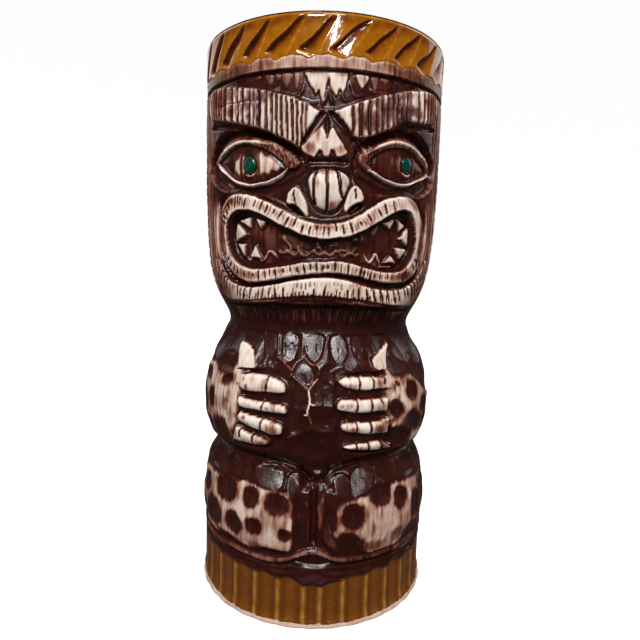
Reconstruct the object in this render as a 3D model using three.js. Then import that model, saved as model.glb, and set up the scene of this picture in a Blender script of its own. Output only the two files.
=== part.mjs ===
// A slip-cast stoneware tiki mug: one hollow clay body carved as a standing figure, an amber glaze band
// on the rope-cut rim, another on the fluted plinth, a brown liner glaze inside, and two enamelled pupils.
// Millimetres, +Z up. The origin is the centre of the foot on the table. The face looks along -Y.

import * as THREE from "three";

// Heights of the figure's sections, stacked from the table up.
const PLINTH_HEIGHT = 17;
const LEGS_HEIGHT = 32;
const TORSO_HEIGHT = 40;
const HEAD_HEIGHT = 71;
const RIM_HEIGHT = 15;

// Trunk, wall and foot.
const BODY_RADIUS = 38.6;
const WALL = 4.7;
const BASE_THICKNESS = 5;
const FOOT_RECESS = 1.5;
const FOOT_BAND = 1.5;
const FOOT_RING_WIDTH = 6;
const CAVITY_FLOOR_ROUND = 6;
const NECK_ROUND = 2;
const JAW_ROUND = 9;

// Fused coats. GAP is the clearance that separate solids keep.
const GAP = 0.3;
const RIM_GLAZE = 2.2;
const FOOT_GLAZE = 1.5;
const LINER_GLAZE = 0.5;
const COLLAR_HEIGHT = 2.2;
const COLLAR_GROOVE = 1.1;
const COLLAR_GROOVE_RISE = 1;

// Repeated cuts. A rope cut drops steeply over its wall, then climbs back over the rest of its span; both
// are shares of the pitch, and its lean is how far it runs round for each millimetre up.
const ROPE_CUTS = 27;
const ROPE_CUT_DEPTH = 1.5;
const ROPE_LEAN = 1.13;
const ROPE_CUT_WALL = 0.12;
const ROPE_CUT_SPAN = 0.62;
const RIM_PLAIN_EDGE = 1.2;
const FLUTES = 31;
const FLUTE_DEPTH = 0.8;
const FLUTE_ROUND = 2;

// Fingers: heights above the waist, thickness, and the arc that each covers.
const FINGER_HEIGHTS = [7, 12.8, 18.8, 26];
const FINGER_THICKNESS = 4.2;
const FINGER_SPAN = [7, 26];
const FINGER_LEVEL = 0.9;

// Pupils, placed on the eyes by arc length from the face's centre line and height above the neck.
const PUPIL_WIDTH = 4.1;
const PUPIL_HEIGHT = 4.6;
const PUPIL_THICKNESS = 0.8;
const PUPIL_SPREAD = 24.4;
const EYE_HEIGHT = 47.6;
const PUPIL_CLEARANCE = 0.1;

// Mesh: columns round each piece, and the height of a row.
const FIGURE_COLUMNS = 56;
const FRONT_CROWDING = 0.6;
const LINER_COLUMNS = 27;
const ROPE_CUT_COLUMNS = 4;
const FLUTE_COLUMNS = 3;
const FIGURE_STEP = 2.8;
const LEGS_STEP = 3.8;
const RIM_STEP = 2.4;
const CAVITY_STEP = 10;

const LEGS_BASE = PLINTH_HEIGHT;
const TORSO_BASE = LEGS_BASE + LEGS_HEIGHT;
const NECK = TORSO_BASE + TORSO_HEIGHT;
const COLLAR = NECK + HEAD_HEIGHT;
const TOP = COLLAR + RIM_HEIGHT;
const RIM_GLAZE_BASE = COLLAR + COLLAR_HEIGHT + GAP;
const LIP = TOP - LINER_GLAZE - 2 * GAP;
const FLOOR = FOOT_RECESS + BASE_THICKNESS;
const RIM_CLAY_RADIUS = BODY_RADIUS - RIM_GLAZE - GAP;
const PLINTH_CLAY_RADIUS = BODY_RADIUS - FOOT_GLAZE - 2 * GAP;
const FOOT_RADIUS = PLINTH_CLAY_RADIUS + FOOT_GLAZE;
const LIP_ROLL_RADIUS = RIM_CLAY_RADIUS + RIM_GLAZE / 2;

// Trunk silhouette as [height, radius less BODY_RADIUS]: up the legs and torso by share of their height,
// up the head by millimetres above the neck, then straight to the lip.
const LEGS_SWELL = [
  [0, -1.1], [0.125, -1], [0.25, 0], [0.41, 0.2], [0.59, -0.3], [0.78, -1.4], [0.91, -3],
];
const TORSO_SWELL = [
  [0, -3.3], [0.075, -2.3], [0.225, -0.6], [0.425, -0.3], [0.575, -1.1], [0.725, -2.8], [0.875, -6.1],
];
const HEAD_SWELL = [
  [0, -8.6], [3, -7.7], [6, -6], [9, -4.6], [13, -3], [19, -1.6], [27, -0.8], [41, -0.3], [61, 0],
];
const TRUNK = [
  ...LEGS_SWELL.map(([share, swell]) => [LEGS_BASE + share * LEGS_HEIGHT, swell]),
  ...TORSO_SWELL.map(([share, swell]) => [TORSO_BASE + share * TORSO_HEIGHT, swell]),
  ...HEAD_SWELL.map(([up, swell]) => [NECK + up, swell]),
  [COLLAR, 0],
  [TOP, -0.1],
];

function trunkRadius(z) {
  const upper = TRUNK.findIndex(([height]) => height >= z);
  if (upper <= 0) return BODY_RADIUS + TRUNK[0][1];
  const [lowZ, lowSwell] = TRUNK[upper - 1];
  const [highZ, highSwell] = TRUNK[upper];
  return BODY_RADIUS + THREE.MathUtils.mapLinear(z, lowZ, highZ, lowSwell, highSwell);
}

// Carvings, in order: each pulls the surface to its level inside its outline, across a slope as wide as its
// bevel. Points are arc length from the centre line (both sides alike) and height above the section's
// base; level is out from the trunk.
const HEAD_CARVINGS = {
  forehead: { level: -0.9, bevel: 1.8, outline: [[-3, 61], [11, 66], [25, 69.4], [-3, 70]] },
  eye_hollow: {
    level: -2.3, bevel: 2.2,
    outline: [[3, 46], [9, 51], [18, 55], [27, 57], [36, 55.5], [44, 49], [38, 42], [25, 39.5], [12, 40]],
  },
  brow: {
    level: 0.6, bevel: 2,
    outline: [[0.5, 60.3], [13, 65.2], [26, 68.8], [40, 70], [40.5, 61.2], [27, 58.6], [16, 55.4], [7, 51.2]],
  },
  eye: {
    level: 0.2, bevel: 2.6,
    outline: [
      [9.5, 46.5], [16, 52], [24, 54], [31, 53], [38, 49], [34, 45.5], [28, 42.3], [20, 41], [13, 42.8],
    ],
  },
  bridge: { level: 0.5, bevel: 1, outline: [[-3, 57.5], [0.5, 57.5], [6.8, 50], [5, 48.8], [-3, 48.8]] },
  mouth_bed: {
    level: -1.2, bevel: 1.8,
    outline: [
      [-3, 33.4], [10, 35], [23, 41], [31, 41.3], [38.5, 36], [40, 27], [38.5, 17.5], [32, 12.8], [24, 12],
      [12, 14], [-3, 15],
    ],
  },
  lips: {
    level: 0.7, bevel: 1.8,
    outline: [
      [-3, 31.3], [8, 32.5], [15, 35.5], [24, 39.3], [30, 39.6], [36, 35], [37.4, 27], [36, 19], [31, 15],
      [24, 14], [12, 16.2], [-3, 17.2],
    ],
  },
  mouth: {
    level: -2.3, bevel: 2,
    outline: [
      [-3, 26.4], [6, 27], [13, 30], [20, 34], [26.5, 35.3], [30.5, 32], [31.8, 26], [29.5, 21], [24, 18],
      [15, 18.4], [6, 20.2], [-3, 20.6],
    ],
  },
  chin: {
    level: 2.2, bevel: 2.4,
    outline: [[-3, 15.4], [12, 14], [24, 11.6], [33, 12], [38, 8.5], [30, 7.2], [15, 8], [-3, 8.6]],
  },
  nose: {
    level: 1.8, bevel: 3.4,
    outline: [[-5, 46.5], [3, 46], [6.8, 42.5], [6.2, 37], [3.5, 33], [-5, 32.6]],
  },
  nostril: { level: 0.9, bevel: 1.8, outline: [[5.5, 34], [8, 41], [11.4, 39], [11.8, 36], [8.5, 35]] },
};
const TORSO_CARVINGS = {
  belly: { level: -1.4, bevel: 2, outline: [[-8, 3], [8, 5], [9, 28], [-8, 33]] },
  hand_bed: { level: -1, bevel: 1, outline: [[7, 4], [27, 4], [25, 30], [9, 30]] },
  arm: {
    level: 0.7, bevel: 2,
    outline: [
      [25, 29.5], [30, 28], [42, 27], [60, 24], [60, 8], [44, 4], [28, 3.5], [26.5, 10], [24, 17],
    ],
  },
  thumb: { level: 0.8, bevel: 1, outline: [[20.5, 28.8], [28, 28], [31.5, 34.5], [29, 35.2], [23, 33]] },
};
const LEGS_CARVINGS = {
  thigh: {
    level: 0.5, bevel: 5,
    outline: [[3, 6], [4.5, 24], [18, 30], [34, 27], [42, 16], [36, 6], [20, 4.5], [10, 4.5]],
  },
  cleft: { level: -1.9, bevel: 2, outline: [[-6, 4], [2.5, 4.5], [5, 12], [4.5, 20], [2.5, 28], [-6, 30]] },
};

FINGER_HEIGHTS.forEach((finger, n) => {
  const [tip, knuckle] = FINGER_SPAN;
  const half = FINGER_THICKNESS / 2;
  TORSO_CARVINGS[`finger_${n + 1}`] = {
    level: FINGER_LEVEL, bevel: half / 2,
    outline: [[tip, finger - half], [knuckle, finger - half], [knuckle, finger + half], [tip, finger + half]],
  };
});

// Distance from a point to an outline, positive inside.
function depthInside(outline, across, up) {
  let inside = false;
  let nearest = Infinity;
  outline.forEach(([x1, y1], n) => {
    const [x2, y2] = outline[(n + 1) % outline.length];
    if (y1 > up !== y2 > up && across < x1 + (x2 - x1) * (up - y1) / (y2 - y1)) inside = !inside;
    const along = ((across - x1) * (x2 - x1) + (up - y1) * (y2 - y1)) / ((x2 - x1) ** 2 + (y2 - y1) ** 2);
    const held = THREE.MathUtils.clamp(along, 0, 1);
    nearest = Math.min(nearest, Math.hypot(across - x1 - held * (x2 - x1), up - y1 - held * (y2 - y1)));
  });
  return inside ? nearest : -nearest;
}

function carvedLevel(carvings, across, up) {
  return Object.values(carvings).reduce((level, { outline, level: target, bevel }) => {
    const share = THREE.MathUtils.smoothstep(depthInside(outline, across, up), -bevel / 2, bevel / 2);
    return THREE.MathUtils.lerp(level, target, share);
  }, 0);
}

function figureRelief(angle, z) {
  const across = Math.abs(angle) * BODY_RADIUS;
  if (z < TORSO_BASE) return carvedLevel(LEGS_CARVINGS, across, z - LEGS_BASE);
  if (z < NECK) return carvedLevel(TORSO_CARVINGS, across, z - TORSO_BASE);
  return carvedLevel(HEAD_CARVINGS, across, z - NECK);
}

// A profile of [radius, height, relief share] turned about Z. A relief of (angle, height) moves each point
// out by its share; crowding gathers the columns towards the face, at angle 0.
function turned(profile, columns, relief = () => 0, crowding = 0) {
  const geometry = new THREE.LatheGeometry(profile.map(([r, z]) => new THREE.Vector2(r, z)), columns);
  const spots = geometry.attributes.position;
  for (let n = 0; n < spots.count; n += 1) {
    const column = Math.floor(n / profile.length) % columns;
    const [r, z, share = 0] = profile[n % profile.length];
    const turn = 2 * Math.PI * column / columns;
    const wide = turn - crowding * Math.sin(turn);
    const angle = wide > Math.PI ? wide - 2 * Math.PI : wide;
    const radius = r + share * relief(angle, z);
    spots.setXYZ(n, radius * Math.sin(angle), -radius * Math.cos(angle), z);
  }
  geometry.computeVertexNormals();
  return geometry;
}

function named(name, geometry, color, roughness) {
  const mesh = new THREE.Mesh(geometry, new THREE.MeshStandardMaterial({ color, roughness, metalness: 0 }));
  mesh.name = name;
  return mesh;
}

function evenSteps(low, high, step) {
  const count = Math.max(1, Math.round((high - low) / step));
  return Array.from({ length: count }, (_, n) => low + (high - low) * n / count);
}

// Cavity: follows the trunk one wall inside it, with a rounded floor.
const CAVITY_HEIGHTS = [
  ...evenSteps(FLOOR + CAVITY_FLOOR_ROUND, TORSO_BASE, CAVITY_STEP),
  ...evenSteps(TORSO_BASE, NECK - 2 * NECK_ROUND, CAVITY_STEP),
  NECK - NECK_ROUND,
  NECK + NECK_ROUND,
  ...evenSteps(NECK + JAW_ROUND, COLLAR, 2 * CAVITY_STEP),
  COLLAR,
];
const cavityRadius = (z) => trunkRadius(z) - WALL;
const LIP_INNER_RADIUS = cavityRadius(TOP);
const FLOOR_RADIUS = cavityRadius(FLOOR + CAVITY_FLOOR_ROUND) - CAVITY_FLOOR_ROUND;
const FLOOR_CORNER = [
  FLOOR_RADIUS + CAVITY_FLOOR_ROUND * Math.SQRT1_2,
  FLOOR + CAVITY_FLOOR_ROUND * (1 - Math.SQRT1_2),
];

// Clay body: foot, carved figure, plain collar and lip, then down the inside to the floor.
const fingerRows = FINGER_HEIGHTS.flatMap((finger, n) => [
  (finger + (FINGER_HEIGHTS[n - 1] ?? finger - 2 * FIGURE_STEP)) / 2,
  finger - FINGER_THICKNESS / 4,
  finger + FINGER_THICKNESS / 4,
]).map((up) => TORSO_BASE + up);
const topFinger = fingerRows.at(-1);
const figureRows = [
  ...evenSteps(LEGS_BASE, TORSO_BASE, LEGS_STEP),
  TORSO_BASE,
  ...fingerRows,
  ...evenSteps(topFinger + FINGER_THICKNESS / 2, NECK, FIGURE_STEP),
  ...evenSteps(NECK, COLLAR - COLLAR_GROOVE_RISE, FIGURE_STEP),
  COLLAR - COLLAR_GROOVE_RISE,
].map((z) => [trunkRadius(z), z, 1]);
const clayProfile = [
  [0, FOOT_RECESS],
  [FOOT_RADIUS - FOOT_RING_WIDTH - FOOT_RECESS, FOOT_RECESS],
  [FOOT_RADIUS - FOOT_RING_WIDTH, 0],
  [FOOT_RADIUS - FOOT_BAND / 3, 0],
  [FOOT_RADIUS, FOOT_BAND / 3],
  [FOOT_RADIUS, FOOT_BAND],
  [PLINTH_CLAY_RADIUS, FOOT_BAND],
  [PLINTH_CLAY_RADIUS, PLINTH_HEIGHT - GAP],
  ...figureRows,
  [trunkRadius(COLLAR) - COLLAR_GROOVE, COLLAR],
  [trunkRadius(COLLAR), COLLAR + GAP],
  [trunkRadius(COLLAR), COLLAR + COLLAR_HEIGHT],
  [RIM_CLAY_RADIUS, COLLAR + COLLAR_HEIGHT],
  [RIM_CLAY_RADIUS, LIP],
  [LIP_INNER_RADIUS, LIP],
  ...CAVITY_HEIGHTS.map((z) => [cavityRadius(z), z]).reverse(),
  FLOOR_CORNER,
  [FLOOR_RADIUS, FLOOR],
  [0, FLOOR],
];
const clayShape = turned(clayProfile, FIGURE_COLUMNS, figureRelief, FRONT_CROWDING);
const clayBody = named("clay_body", clayShape, 0x6b3f30, 0.5);

// Rim glaze: a closed band whose face carries the leaning rope cuts.
function ropeCut(angle, z) {
  const turns = angle / (2 * Math.PI) * ROPE_CUTS - (z - RIM_GLAZE_BASE) * ROPE_LEAN * ROPE_CUTS
    / (2 * Math.PI * BODY_RADIUS);
  const place = turns - Math.floor(turns);
  if (place > ROPE_CUT_SPAN) return 0;
  if (place < ROPE_CUT_WALL) return -place / ROPE_CUT_WALL;
  return -(ROPE_CUT_SPAN - place) / (ROPE_CUT_SPAN - ROPE_CUT_WALL);
}
const rimInner = RIM_CLAY_RADIUS + GAP;
const rimFace = rimInner + RIM_GLAZE - GAP;
const rimRows = evenSteps(RIM_GLAZE_BASE + RIM_PLAIN_EDGE, LIP - RIM_PLAIN_EDGE, RIM_STEP);
const rimProfile = [
  [rimInner, RIM_GLAZE_BASE],
  [rimFace - GAP, RIM_GLAZE_BASE],
  ...rimRows.map((z) => [rimFace, z, ROPE_CUT_DEPTH]),
  [rimFace, LIP - RIM_PLAIN_EDGE],
  [rimFace - GAP, LIP],
  [rimInner, LIP],
  [rimInner, RIM_GLAZE_BASE],
];
const rimShape = turned(rimProfile, ROPE_CUTS * ROPE_CUT_COLUMNS, ropeCut);
const rimGlaze = named("rim_glaze", rimShape, 0x9b5a00, 0.12);

// Foot glaze: a closed band whose face carries the upright flutes.
function flute(angle) {
  const turns = angle / (2 * Math.PI) * FLUTES;
  const place = turns - Math.floor(turns);
  return -Math.sqrt(Math.sin(Math.PI * place));
}
const footInner = PLINTH_CLAY_RADIUS + GAP;
const footFace = footInner + FOOT_GLAZE;
const footTop = PLINTH_HEIGHT - 2 * GAP;
const footBottom = FOOT_BAND + GAP;
const footProfile = [
  [footInner, footBottom],
  [footFace - FLUTE_DEPTH, footBottom],
  [footFace, footBottom + GAP, FLUTE_DEPTH],
  [footFace, footTop - FLUTE_ROUND, FLUTE_DEPTH],
  [footFace - FLUTE_DEPTH, footTop],
  [footInner, footTop],
  [footInner, footBottom],
];
const footGlaze = named("foot_glaze", turned(footProfile, FLUTES * FLUTE_COLUMNS, flute), 0x69401a, 0.18);

// Liner glaze: lines the cavity and rolls over the lip.
const linerOuter = (z) => cavityRadius(z) - GAP;
const linerInner = (z) => linerOuter(z) - LINER_GLAZE;
const linerProfile = [
  [0, FLOOR + GAP],
  [FLOOR_RADIUS - GAP, FLOOR + GAP],
  [FLOOR_CORNER[0] - GAP, FLOOR_CORNER[1] + GAP],
  ...CAVITY_HEIGHTS.map((z) => [linerOuter(z), z]),
  [LIP_INNER_RADIUS - GAP, LIP + GAP],
  [LIP_ROLL_RADIUS, LIP + GAP],
  [LIP_ROLL_RADIUS, TOP - LINER_GLAZE / 2],
  [LIP_ROLL_RADIUS - LINER_GLAZE, TOP],
  [LIP_INNER_RADIUS, TOP],
  [LIP_INNER_RADIUS - GAP - LINER_GLAZE, TOP - 2 * LINER_GLAZE],
  ...CAVITY_HEIGHTS.map((z) => [linerInner(z), z]).reverse(),
  [FLOOR_CORNER[0] - GAP - LINER_GLAZE, FLOOR_CORNER[1] + GAP + LINER_GLAZE],
  [FLOOR_RADIUS - GAP - LINER_GLAZE, FLOOR + GAP + LINER_GLAZE],
  [0, FLOOR + GAP + LINER_GLAZE],
];
const linerGlaze = named("liner_glaze", turned(linerProfile, LINER_COLUMNS), 0x2c1610, 0.12);

// Pupils: shallow domes of enamel seated on the eyeballs.
function pupil(name, side) {
  const dome = new THREE.SphereGeometry(1, 12, 6);
  dome.scale(PUPIL_WIDTH / 2, PUPIL_THICKNESS / 2, PUPIL_HEIGHT / 2);
  const angle = side * PUPIL_SPREAD / BODY_RADIUS;
  const height = NECK + EYE_HEIGHT;
  const seat = trunkRadius(height) + figureRelief(angle, height) + GAP + PUPIL_CLEARANCE;
  const mesh = named(name, dome, 0x0a5f48, 0.15);
  const reach = seat + PUPIL_THICKNESS / 2;
  mesh.position.set(reach * Math.sin(angle), -reach * Math.cos(angle), height);
  mesh.rotation.z = angle;
  return mesh;
}

const mug = new THREE.Group();
mug.add(clayBody, rimGlaze, footGlaze, linerGlaze);
mug.add(pupil("left_pupil_enamel", -1), pupil("right_pupil_enamel", 1));

export default mug;
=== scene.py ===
import math

import bpy
import numpy as np
from mathutils import Matrix, Vector


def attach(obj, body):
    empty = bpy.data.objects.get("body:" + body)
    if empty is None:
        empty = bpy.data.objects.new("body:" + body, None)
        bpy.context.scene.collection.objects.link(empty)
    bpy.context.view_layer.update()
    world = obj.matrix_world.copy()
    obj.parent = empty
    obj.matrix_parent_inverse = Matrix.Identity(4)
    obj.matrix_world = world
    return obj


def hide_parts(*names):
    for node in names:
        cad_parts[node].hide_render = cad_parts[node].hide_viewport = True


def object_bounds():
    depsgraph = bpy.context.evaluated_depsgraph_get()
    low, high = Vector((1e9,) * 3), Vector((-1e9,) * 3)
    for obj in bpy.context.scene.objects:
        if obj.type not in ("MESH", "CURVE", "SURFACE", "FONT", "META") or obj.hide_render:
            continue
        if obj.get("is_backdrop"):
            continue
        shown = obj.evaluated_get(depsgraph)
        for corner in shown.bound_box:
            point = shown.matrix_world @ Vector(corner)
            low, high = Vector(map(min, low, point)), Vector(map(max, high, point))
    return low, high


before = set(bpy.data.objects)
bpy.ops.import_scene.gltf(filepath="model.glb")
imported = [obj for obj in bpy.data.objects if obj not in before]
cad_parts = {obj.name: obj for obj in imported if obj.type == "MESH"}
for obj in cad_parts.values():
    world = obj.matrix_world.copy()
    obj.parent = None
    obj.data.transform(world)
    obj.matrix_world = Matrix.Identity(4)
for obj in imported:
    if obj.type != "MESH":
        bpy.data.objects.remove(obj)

cad_low, cad_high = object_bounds()

# ---------------------------------------------------------------------------------------------------------
# Clay body. One slip-cast stoneware vessel, closed at the foot and open at the lip, its whole outside carved
# as a standing figure. It is carved here as a carver would, on the unrolled wall: each cut is given in
# millimetres, across from a datum line just beside the nose and up from the table.
# ---------------------------------------------------------------------------------------------------------
MM = 0.001
TOP = cad_high.z / MM
UNROLL_RADIUS = 38.5
DATUM_TO_NOSE = 1.0
GIRTH = 2 * math.pi * UNROLL_RADIUS

# The wall is a net of columns and rows, close-set where the face, hands and thighs are.
FRONT_HALF = 47.0
FRONT_PITCH = 0.28
BACK_PITCH = 0.6
FOOT_TOP = 12.4
RIM_FOOT = 165.5
front = np.linspace(-FRONT_HALF, FRONT_HALF, round(2 * FRONT_HALF / FRONT_PITCH))
flank = np.linspace(FRONT_HALF, GIRTH / 2, round((GIRTH / 2 - FRONT_HALF) / BACK_PITCH))[1:-1]
across = np.concatenate([-flank[::-1], front, flank])
up = np.arange(FOOT_TOP, RIM_FOOT, FRONT_PITCH)
ACROSS, UP = np.meshgrid(across, up)
relief = np.zeros_like(ACROSS)
bare = np.zeros_like(ACROSS)

# The figure's silhouette: height and radius.
SILHOUETTE = (
    (0, 38.2), (10, 38.0), (17, 37.5), (21, 37.6), (25, 38.6), (30, 38.8), (36, 38.3), (42, 37.2), (47, 35.4),
    (49.5, 35.0), (52, 36.2), (58, 38.0), (66, 38.3), (72, 37.5), (78, 35.8), (84, 32.7), (89, 30.2),
    (92, 30.9), (95, 32.6), (98, 34.0), (102, 35.6), (108, 37.0), (116, 37.8), (130, 38.3), (150, 38.6),
    (165, 38.4), (175, 38.5),
)
heights, radii = np.array(SILHOUETTE).T


def trunk(height):
    """Radius of the uncarved trunk, its corners eased over a few millimetres."""
    spans = np.linspace(-1.6, 1.6, 9)
    return np.mean([np.interp(np.asarray(height) + span, heights, radii) for span in spans], axis=0)


def ease(low, high, x):
    """0 below low, 1 above high, and a smooth step between."""
    t = np.clip((x - low) / (high - low), 0, 1)
    return t * t * (3 - 2 * t)


def rounded(points, closed, times=3):
    """Corner-cuts a line of points into a smooth one. A point given twice stays a corner."""
    line = np.array(points, float)
    for _ in range(times):
        after = np.roll(line, -1, axis=0) if closed else line[1:]
        before = line if closed else line[:-1]
        cut = np.stack([before * 0.75 + after * 0.25, before * 0.25 + after * 0.75], 1).reshape(-1, 2)
        line = cut if closed else np.vstack([line[:1], cut, line[-1:]])
    return line


def window(low_s, high_s, low_z, high_z):
    """The stretch of the net that holds a piece of carving."""
    cols = slice(*np.searchsorted(across, (low_s, high_s)))
    rows = slice(*np.searchsorted(up, (low_z, high_z)))
    return rows, cols


def span_of(line, margin):
    (low_s, low_z), (high_s, high_z) = line.min(0) - margin, line.max(0) + margin
    return window(low_s, high_s, low_z, high_z)


def to_line(s, z, line):
    """Distance to an open or closed line, and how far along it the nearest point lies, from 0 to 1."""
    nearest = np.full(s.shape, 1e9)
    share = np.zeros(s.shape)
    steps = np.hypot(*np.diff(line, axis=0).T)
    walked = np.concatenate([[0], np.cumsum(steps)])
    for (s0, z0), (s1, z1), step, start in zip(line[:-1], line[1:], steps, walked):
        if step < 1e-9:
            continue
        t = np.clip(((s - s0) * (s1 - s0) + (z - z0) * (z1 - z0)) / step**2, 0, 1)
        gap = np.hypot(s - s0 - t * (s1 - s0), z - z0 - t * (z1 - z0))
        closer = gap < nearest
        nearest = np.where(closer, gap, nearest)
        share = np.where(closer, (start + t * step) / walked[-1], share)
    return nearest, share


def depth_in(s, z, outline):
    """Distance inside a closed outline; negative outside it."""
    inside = np.zeros(s.shape, bool)
    ring = np.vstack([outline, outline[:1]])
    for (s0, z0), (s1, z1) in zip(ring[:-1], ring[1:]):
        if z0 != z1:
            inside ^= ((z0 > z) != (z1 > z)) & (s < s0 + (s1 - s0) * (z - z0) / (z1 - z0))
    return np.where(inside, 1, -1) * to_line(s, z, ring)[0]


def mottle(seed, wide, tall):
    """Smooth random variation over the wall, from -1 to 1, that closes round the back."""
    dice = np.random.default_rng(seed)
    columns, rows = max(4, round(GIRTH / wide)), round(RIM_FOOT / tall) + 3
    lattice = dice.uniform(-1, 1, (rows, columns))
    a = (ACROSS + GIRTH / 2) / GIRTH * columns
    b = UP / tall
    column, row = np.floor(a).astype(int), np.floor(b).astype(int)
    x, y = a - column, b - row
    x, y = x * x * (3 - 2 * x), y * y * (3 - 2 * y)
    low = lattice[row, column % columns] * (1 - x) + lattice[row, (column + 1) % columns] * x
    high = lattice[row + 1, column % columns] * (1 - x) + lattice[row + 1, (column + 1) % columns] * x
    return low * (1 - y) + high * y


# A carver's hand is not a ruler: every cut wanders a little, and stain frays at its edge.
CUT_S = ACROSS + 0.2 * mottle(91, 3.4, 3.4) + 0.09 * mottle(92, 1.1, 1.1)
CUT_Z = UP + 0.18 * mottle(93, 3.4, 3.4) + 0.08 * mottle(94, 1.1, 1.1)
FRAY = mottle(95, 0.6, 1.5) + 0.5 * mottle(96, 1.6, 3.2)


def groove(points, width, depth, stain=1.0, wipe=0.0, smooth_times=3, taper=0.25, closed=False):
    """A knife cut along a path, tapering at its ends, with stain lying in it."""
    line = rounded(points, closed, smooth_times)
    if closed:
        line = np.vstack([line, line[:1]])
    here = span_of(line, width * 1.5)
    gap, share = to_line(CUT_S[here], CUT_Z[here], line)
    fade = 1
    if taper and not closed:
        fade = np.minimum(ease(0, taper, share), ease(0, taper, 1 - share)) * 0.75 + 0.25
    bite = np.clip(1 - (gap / (width * fade)) ** 2, 0, 1)
    relief[here] -= depth * bite * fade
    bare[here] += (wipe - bare[here]) * stain * ease(0.05, 0.6, bite)


# Head, sides and back: upright wood grain, half wiped, with short lock cuts behind the cheeks.
COLLAR = 160.0
head = ease(95, 99, UP) * ease(COLLAR - 0.2, COLLAR - 0.8, UP)
away = ease(36, 44, np.abs(ACROSS))
grain_bend = 1.2 * mottle(3, 16, 26)
grain = np.sin((ACROSS + grain_bend) * 2 * math.pi / 2.7) * 0.6 + mottle(4, 1.4, 30) * 0.6
relief += 0.26 * grain * head * away
bare += (0.3 + 0.3 * grain) * head * away
lock_dice = np.random.default_rng(14)
for side in (-1, 1):
    for lock in np.arange(100, 158, 3.3):
        sway, drop, reach = lock_dice.uniform(-0.6, 0.6, 3)
        groove([(side * 50, lock + 2.6 + sway), (side * 57, lock + 1.2),
                (side * (66 + 2 * reach), lock - 2 + drop)],
               1.0, 0.75, stain=0.55, wipe=0.12, taper=0.4)


def carve(points, level=None, wipe=None, slope=0.8, add=None, times=3, dome=0, fade=0.4):
    """Pulls the wall to a level (or adds to it) inside an outline, and wipes or stains it."""
    outline = rounded(points, True, times)
    here = span_of(outline, slope + 0.5 + fade / 2)
    s, z = CUT_S[here], CUT_Z[here]
    depth = depth_in(s, z, outline)
    share = ease(-slope / 2, slope / 2, depth)
    if level is not None:
        relief[here] += (level - relief[here]) * share
    if add is not None:
        relief[here] += add * share
    if dome:
        reach = depth.max()
        relief[here] += dome * share * np.sqrt(1 - (1 - np.clip(depth / reach, 0, 1)) ** 2)
    if wipe is not None:
        stained = ease(-0.4 * fade, 0.6 * fade, depth + (0.1 + 0.18 * fade) * FRAY[here])
        bare[here] += (wipe - bare[here]) * stained


def bead(points, width, height, wipe=None, smooth_times=3, taper=0.2):
    """A thin raised line along a path, wiped bare on its crest."""
    line = rounded(points, False, smooth_times)
    here = span_of(line, width * 1.5)
    gap, share = to_line(CUT_S[here], CUT_Z[here], line)
    fade = np.minimum(ease(0, taper, share), ease(0, taper, 1 - share)) * 0.8 + 0.2
    crest = np.clip(1 - (gap / (width * fade)) ** 2, 0, 1)
    relief[here] += height * crest * fade
    if wipe is not None:
        bare[here] += (wipe - bare[here]) * ease(0.1, 0.75, crest)


def smoke(marks):
    """Stain left in the wiping: soft oval clouds with the strength of each last, streaked by the cloth."""
    for s0, z0, wide, tall, turn, strength in marks:
        reach = max(wide, tall) * 1.6
        here = window(s0 - reach, s0 + reach, z0 - reach, z0 + reach)
        s, z = ACROSS[here] - s0, UP[here] - z0
        c, n = math.cos(math.radians(turn)), math.sin(math.radians(turn))
        rho = np.hypot((s * c + z * n) / wide, (z * c - s * n) / tall)
        bare[here] *= 1 - strength * ease(1.35, 0.35, rho + 0.22 * FRAY[here])


# Forehead: dark hollow between collar and brows, with flame points left bare.
carve([(-30, 158.9), (-20, 157.0), (-12, 154.6), (-5, 152.2), (0.8, 149.6), (6, 151), (14, 154.2),
       (22, 156.6), (31, 159.2), (20, 159.8), (0, 159.7), (-20, 159.8)], level=-0.9, wipe=0.1, slope=1.0)
carve([(-5.4, 159.6), (-5.4, 159.6), (-3.8, 156.2), (-2.2, 153.6), (-2.2, 153.6), (-1.5, 155.4),
       (-0.4, 151.7), (-0.4, 151.7), (0.2, 154.5), (1.2, 158.2), (1.2, 158.2), (2.0, 155.6), (3.2, 153.2),
       (3.2, 153.2), (4.2, 156.0), (5.1, 154.2), (5.1, 154.2), (6.1, 156.6), (6.5, 159.7), (6.5, 159.7)],
      level=-0.35, wipe=0.92, slope=0.5, times=2)
carve([(8.0, 159.7), (9.0, 157.8), (10.4, 155.7), (10.4, 155.7), (11.6, 157.4), (13.0, 159.7)],
      level=-0.4, wipe=0.85, slope=0.5, times=2)
for tip, foot, half, wipe in ((-7.4, 154.6, 1.1, 0.6), (-10.4, 155.2, 1.9, 0.42), (-13.1, 157.2, 0.9, 0.5),
                              (-15.8, 156.2, 1.6, 0.3), (-20.0, 157.9, 1.9, 0.2), (14.6, 155.9, 1.2, 0.42),
                              (17.4, 157.4, 1.7, 0.26), (21.6, 157.6, 1.4, 0.2), (25.0, 158.4, 1.5, 0.14)):
    carve([(tip - half, 160), (tip - 0.5, foot + 0.9), (tip + 0.2, foot), (tip + 0.9 * half, 160)],
          level=-0.55, wipe=wipe, slope=0.6, times=2, fade=1.2)
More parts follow.
